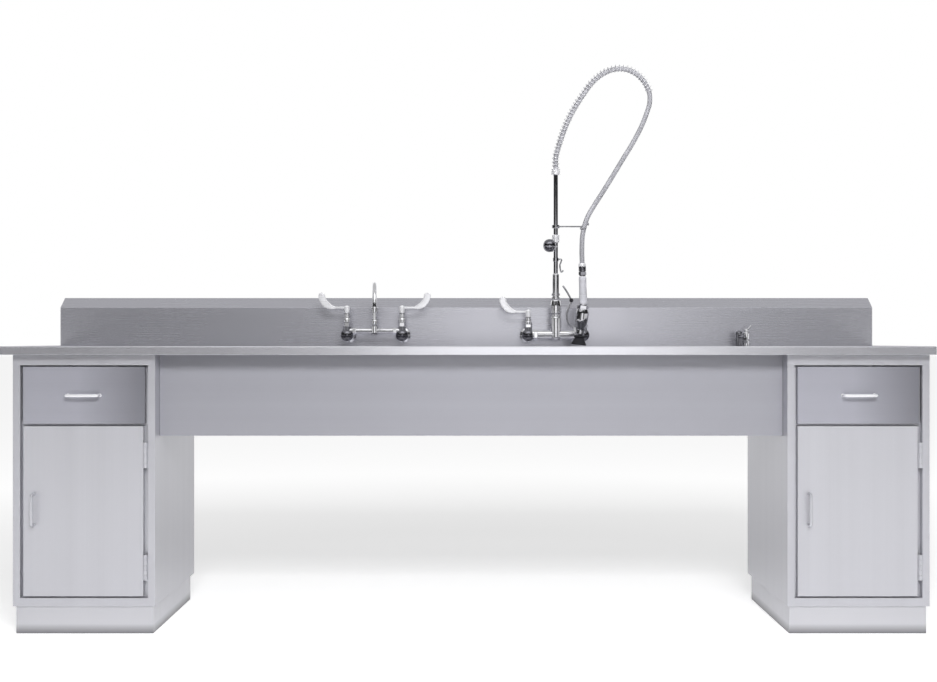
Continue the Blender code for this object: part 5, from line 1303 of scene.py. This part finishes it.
class STATION_OT_deck_tap(StationOperator, bpy.types.Operator):
    """Makes the small deck tap with its swivel spout and lever"""

    bl_idname = "station.deck_tap"
    bl_label = "Deck tap"

    half = 0.0133
    radius = 0.012
    hub_level = 0.062
    reach = 0.105
    outlet = 0.021
    lever_end = (0.017, 0.0, 0.021)

    def execute(self, context):
        low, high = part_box("deck_tap_body")
        middle = Matrix.Translation(((low.x + high.x) / 2, (low.y + high.y) / 2, low.z))
        left = middle @ Matrix.Translation((-self.half, 0.0, 0.0))
        right = middle @ Matrix.Translation((self.half, 0.0, 0.0))
        shape = bmesh.new()
        for end in (left, right):
            turned(shape, end, 48, 0.0008, (0.017, 0.0), (0.017, 0.0035), (0.0155, 0.005))
        slab(shape, (-self.half, -0.0168, 0.0), (self.half, 0.0168, 0.0048), 0.0012, middle)
        wide = self.radius
        waist = wide * 0.9
        column = [(wide, 0.004), (wide, 0.030), (waist, 0.0315), (waist, 0.034)]
        column += [(wide, 0.0355), (wide, 0.058), (0.009, self.hub_level)]
        turned(shape, right, 40, 0.001, *column)
        piece("deck_tap_valve", shape, "chrome_bright", "station", ("deck_tap_body",))
        self.spout(left)
        self.lever(right @ Matrix.Translation((0.0, 0.0, self.hub_level + FIT)))
        return {"FINISHED"}

    def spout(self, place):
        """Makes the swivel column and its bent spout."""
        wide = self.radius
        shape = bmesh.new()
        post = [(wide, 0.0053), (wide, 0.0585), (wide * 0.85, 0.0625), (wide * 0.5, 0.0655), (0.0, 0.066)]
        turned(shape, place, 40, 0.002, *post)
        corners = [(0.0, 0.0, 0.045), (0.0, -self.reach, 0.045), (0.0, -self.reach, self.outlet)]
        swept(shape, rounded(corners, 0.012, 10), 0.0065, 24, hint=(1.0, 0.0, 0.0), place=place)
        rim = place @ Matrix.Translation(corners[-1])
        tip = [(0.0045, 0.004), (0.0045, 0.0), (0.0072, 0.0), (0.0072, 0.008), (0.0065, 0.009)]
        spun(shape, eased(tip, 0.0006), rim, 32)
        piece("deck_tap_swan", shape, "chrome_dark", "deck_tap_swing", ("deck_tap_spout",))

    def lever(self, place):
        """Makes the lever on its hub."""
        shape = bmesh.new()
        turned(shape, place, 36, 0.001, (0.009, 0.0), (0.009, 0.008), (0.0055, 0.0118), (0.0, 0.012))
        line = curved([(0.0, 0.0, 0.006), (0.009, 0.0, 0.0125), self.lever_end])
        halves = [0.0032 + 0.0006 * step / (len(line) - 1) for step in range(len(line))]
        swept(shape, line, halves, 24, 0.0030, (0.0, 1.0, 0.0), place)
        spun(shape, ball(0.0038), place @ Matrix.Translation(self.lever_end), 28)
        piece("deck_tap_thumb_lever", shape, "chrome_bright", "deck_tap_turn", ("deck_tap_lever",))


class STATION_OT_studio(StationOperator, bpy.types.Operator):
    """Sets up the paper floor, the soft lamps and the camera"""

    bl_idname = "station.studio"
    bl_label = "Studio"

    floor = 80.0
    lamp_pool = (0.3, -2.6, 0.0)
    card_stops = ((0.12, 0.14), (0.38, 0.22), (0.47, 1.0), (0.65, 0.98), (0.81, 0.20))
    flag_side = 4.5
    flag_level = 0.035
    ceiling_level = 0.55
    sensor = 36.0

    def seen(self, tree):
        """One for rays from the camera, from gloss and through glass, and nothing for the rest."""
        rays = tree.add("LightPath").outputs
        near = tree.maths("MAXIMUM", rays["Is Camera Ray"], rays["Is Glossy Ray"])
        return tree.maths("MAXIMUM", near, rays["Is Transmission Ray"])

    def paper(self, tone, glow):
        """Pale paper: a fine tooth, and a glow for the camera and gloss that fades where the lamp falls."""
        tree = Tree("studio_paper")
        place = tree.place()
        base = tree.tint(tree.noise(place, 60.0, 3.0), tone, (0.3, 0.985), (0.7, 1.0))
        matt = tree.add("BsdfDiffuse", {"Color": base})
        away = tree.add("VectorMath", {0: place}, operation="LENGTH")
        level = tree.span(away.outputs["Value"], 2.0, 5.0, glow, glow + 0.2)
        from_pool = tree.add("VectorMath", {0: place, 1: self.lamp_pool}, operation="DISTANCE")
        beside = tree.span(from_pool.outputs["Value"], 1.0, 3.2, 0.16, 1.0)
        strength = tree.maths("MULTIPLY", self.seen(tree), tree.maths("MINIMUM", level, beside))
        shine = tree.add("Emission", {"Strength": strength})
        both = tree.add("AddShader", {0: matt.outputs["BSDF"], 1: shine.outputs["Emission"]})
        return tree.close(both.outputs["Shader"])

    def card(self):
        """A grey card behind the camera, bright in the middle, that only gloss sees."""
        tree = Tree("studio_card")
        place = tree.add("SeparateXYZ", {"Vector": tree.place()})
        across = tree.span(place.outputs["X"], -4.0, 4.0, 0.0, 1.0)
        tone = tree.tint(across, (1.0, 1.0, 1.0), *self.card_stops)
        level = tree.span(place.outputs["Z"], 1.7, 2.3, 1.5, 0.08)
        return tree.close(tree.add("Emission", {"Color": tone, "Strength": level}).outputs["Emission"])

    def cloth(self, name, level):
        """Plain cloth round the station that only gloss sees, with a faint weave."""
        tree = Tree(name)
        tone = tree.tint(tree.noise(tree.place(), 40.0, 2.0), (level, level, level), (0.3, 0.9), (0.7, 1.1))
        return tree.close(tree.add("Emission", {"Color": tone, "Strength": 1.0}).outputs["Emission"])

    def sheet(self, name, corners, material):
        """A flat stage sheet through four corners."""
        mesh = bpy.data.meshes.new(name)
        mesh.from_pydata(corners, [], [(0, 1, 2, 3)])
        mesh.materials.append(material)
        made = bpy.data.objects.new(name, mesh)
        bpy.context.scene.collection.objects.link(made)
        return made

    def gloss_only(self, name, corners, material):
        """A stage sheet that nothing but gloss sees."""
        made = self.sheet(name, corners, material)
        made.visible_camera = False
        made.visible_diffuse = False
        made.visible_shadow = False

    def lamp(self, name, spot, target, size, power):
        """A big soft lamp that points at a target."""
        light = bpy.data.lights.new(name, "AREA")
        light.shape = "RECTANGLE"
        light.size, light.size_y = size
        light.energy = power
        made = bpy.data.objects.new(name, light)
        bpy.context.scene.collection.objects.link(made)
        made.location = spot
        aim = Vector(target) - Vector(spot)
        made.rotation_euler = aim.to_track_quat("-Z", "Y").to_euler()
        return made

    def camera(self, scene, settings):
        """A level camera that looks straight at the station's front."""
        lens = bpy.data.cameras.new("studio_camera")
        lens.sensor_width = self.sensor
        lens.lens = settings.focal
        viewer = bpy.data.objects.new("studio_camera", lens)
        viewer.location = settings.camera_place
        viewer.rotation_euler = (math.pi / 2, 0.0, 0.0)
        scene.collection.objects.link(viewer)
        scene.camera = viewer

    def surround(self, scene, fill):
        """A white surround for the camera and gloss, and an even fill for the rest."""
        tree = Tree("studio_surround", world=True)
        level = tree.span(self.seen(tree), 0.0, 1.0, fill, 1.0)
        back = tree.add("Background", {"Color": (1.0, 1.0, 1.0, 1.0), "Strength": level})
        scene.world = tree.close(back.outputs["Background"])

    def execute(self, context):
        scene = context.scene
        settings = scene.studio_settings
        scene.view_settings.view_transform = "Standard"
        self.camera(scene, settings)
        paper = self.paper(settings.paper, settings.glow)
        wide = self.floor
        ground = [(-wide, -wide, 0), (wide, -wide, 0), (wide, wide, 0), (-wide, wide, 0)]
        self.sheet("studio_floor", ground, paper)
        card = [(-6, -6.5, 0), (6, -6.5, 0), (6, -6.5, 5), (-6, -6.5, 5)]
        self.gloss_only("studio_card", card, self.card())
        dark = self.cloth("studio_flag", self.flag_level)
        for x, name in ((-self.flag_side, "left_flag"), (self.flag_side, "right_flag")):
            flag = [(x, -6.4, 1.1), (x, 2.5, 1.1), (x, 2.5, 4.0), (x, -6.4, 4.0)]
            self.gloss_only(name, flag, dark)
        ceiling = [(-7, -4.5, 5.2), (7, -4.5, 5.2), (7, 7, 5.2), (-7, 7, 5.2)]
        self.gloss_only("studio_ceiling", ceiling, self.cloth("studio_ceiling_cloth", self.ceiling_level))
        key = self.lamp("key_lamp", (0.5, -5.5, 3.3), (0.0, 0.0, 0.7), (2.4, 1.1), settings.key_power)
        key.visible_glossy = False
        self.lamp("top_lamp", (0.2, -1.7, 4.0), (0.0, 0.0, 0.9), (4.0, 1.6), settings.top_power)
        self.surround(scene, settings.fill)
        return {"FINISHED"}


class STATION_PT_sidebar(bpy.types.Panel):
    """Lists the station's steps in the sidebar"""

    bl_idname = "STATION_PT_sidebar"
    bl_label = "Sink Station"
    bl_space_type = "VIEW_3D"
    bl_region_type = "UI"
    bl_category = "Sink Station"

    def draw(self, context):
        for step in STEPS:
            self.layout.operator(step.bl_idname)
        for group, setting in GROUPS.items():
            box = self.layout.box()
            box.label(text=group.__doc__)
            for name in group.__annotations__:
                box.prop(getattr(context.scene, setting), name)


GROUPS = {
    StationFinishes: "station_finishes",
    TapSizes: "tap_sizes",
    HoseSizes: "hose_sizes",
    StudioSettings: "studio_settings",
}

STEPS = (
    STATION_OT_studio,
    STATION_OT_spray,
    STATION_OT_hose,
    STATION_OT_sheet_steel,
    STATION_OT_drains,
    STATION_OT_cabinets,
    STATION_OT_pulls,
    STATION_OT_hinges,
    STATION_OT_tap_bodies,
    STATION_OT_wrist_blades,
    STATION_OT_spout,
    STATION_OT_riser,
    STATION_OT_deck_tap,
)


def register():
    """Makes the settings, the steps and the sidebar known to Blender."""
    for group, name in GROUPS.items():
        bpy.utils.register_class(group)
        setattr(bpy.types.Scene, name, bpy.props.PointerProperty(type=group))
    for step in STEPS:
        bpy.utils.register_class(step)
    bpy.utils.register_class(STATION_PT_sidebar)


def unregister():
    """Takes the sidebar, the steps and the settings out of Blender."""
    bpy.utils.unregister_class(STATION_PT_sidebar)
    for step in reversed(STEPS):
        bpy.utils.unregister_class(step)
    for group, name in GROUPS.items():
        delattr(bpy.types.Scene, name)
        bpy.utils.unregister_class(group)


def main():
    """Runs every step in order."""
    register()
    bpy.ops.station.studio()
    bpy.ops.station.spray()
    bpy.ops.station.hose()
    bpy.ops.station.sheet_steel()
    bpy.ops.station.drains()
    bpy.ops.station.cabinets()
    bpy.ops.station.pulls()
    bpy.ops.station.hinges()
    bpy.ops.station.tap_bodies()
    bpy.ops.station.wrist_blades()
    bpy.ops.station.spout()
    bpy.ops.station.riser()
    bpy.ops.station.deck_tap()


if __name__ == "__main__":
    main()
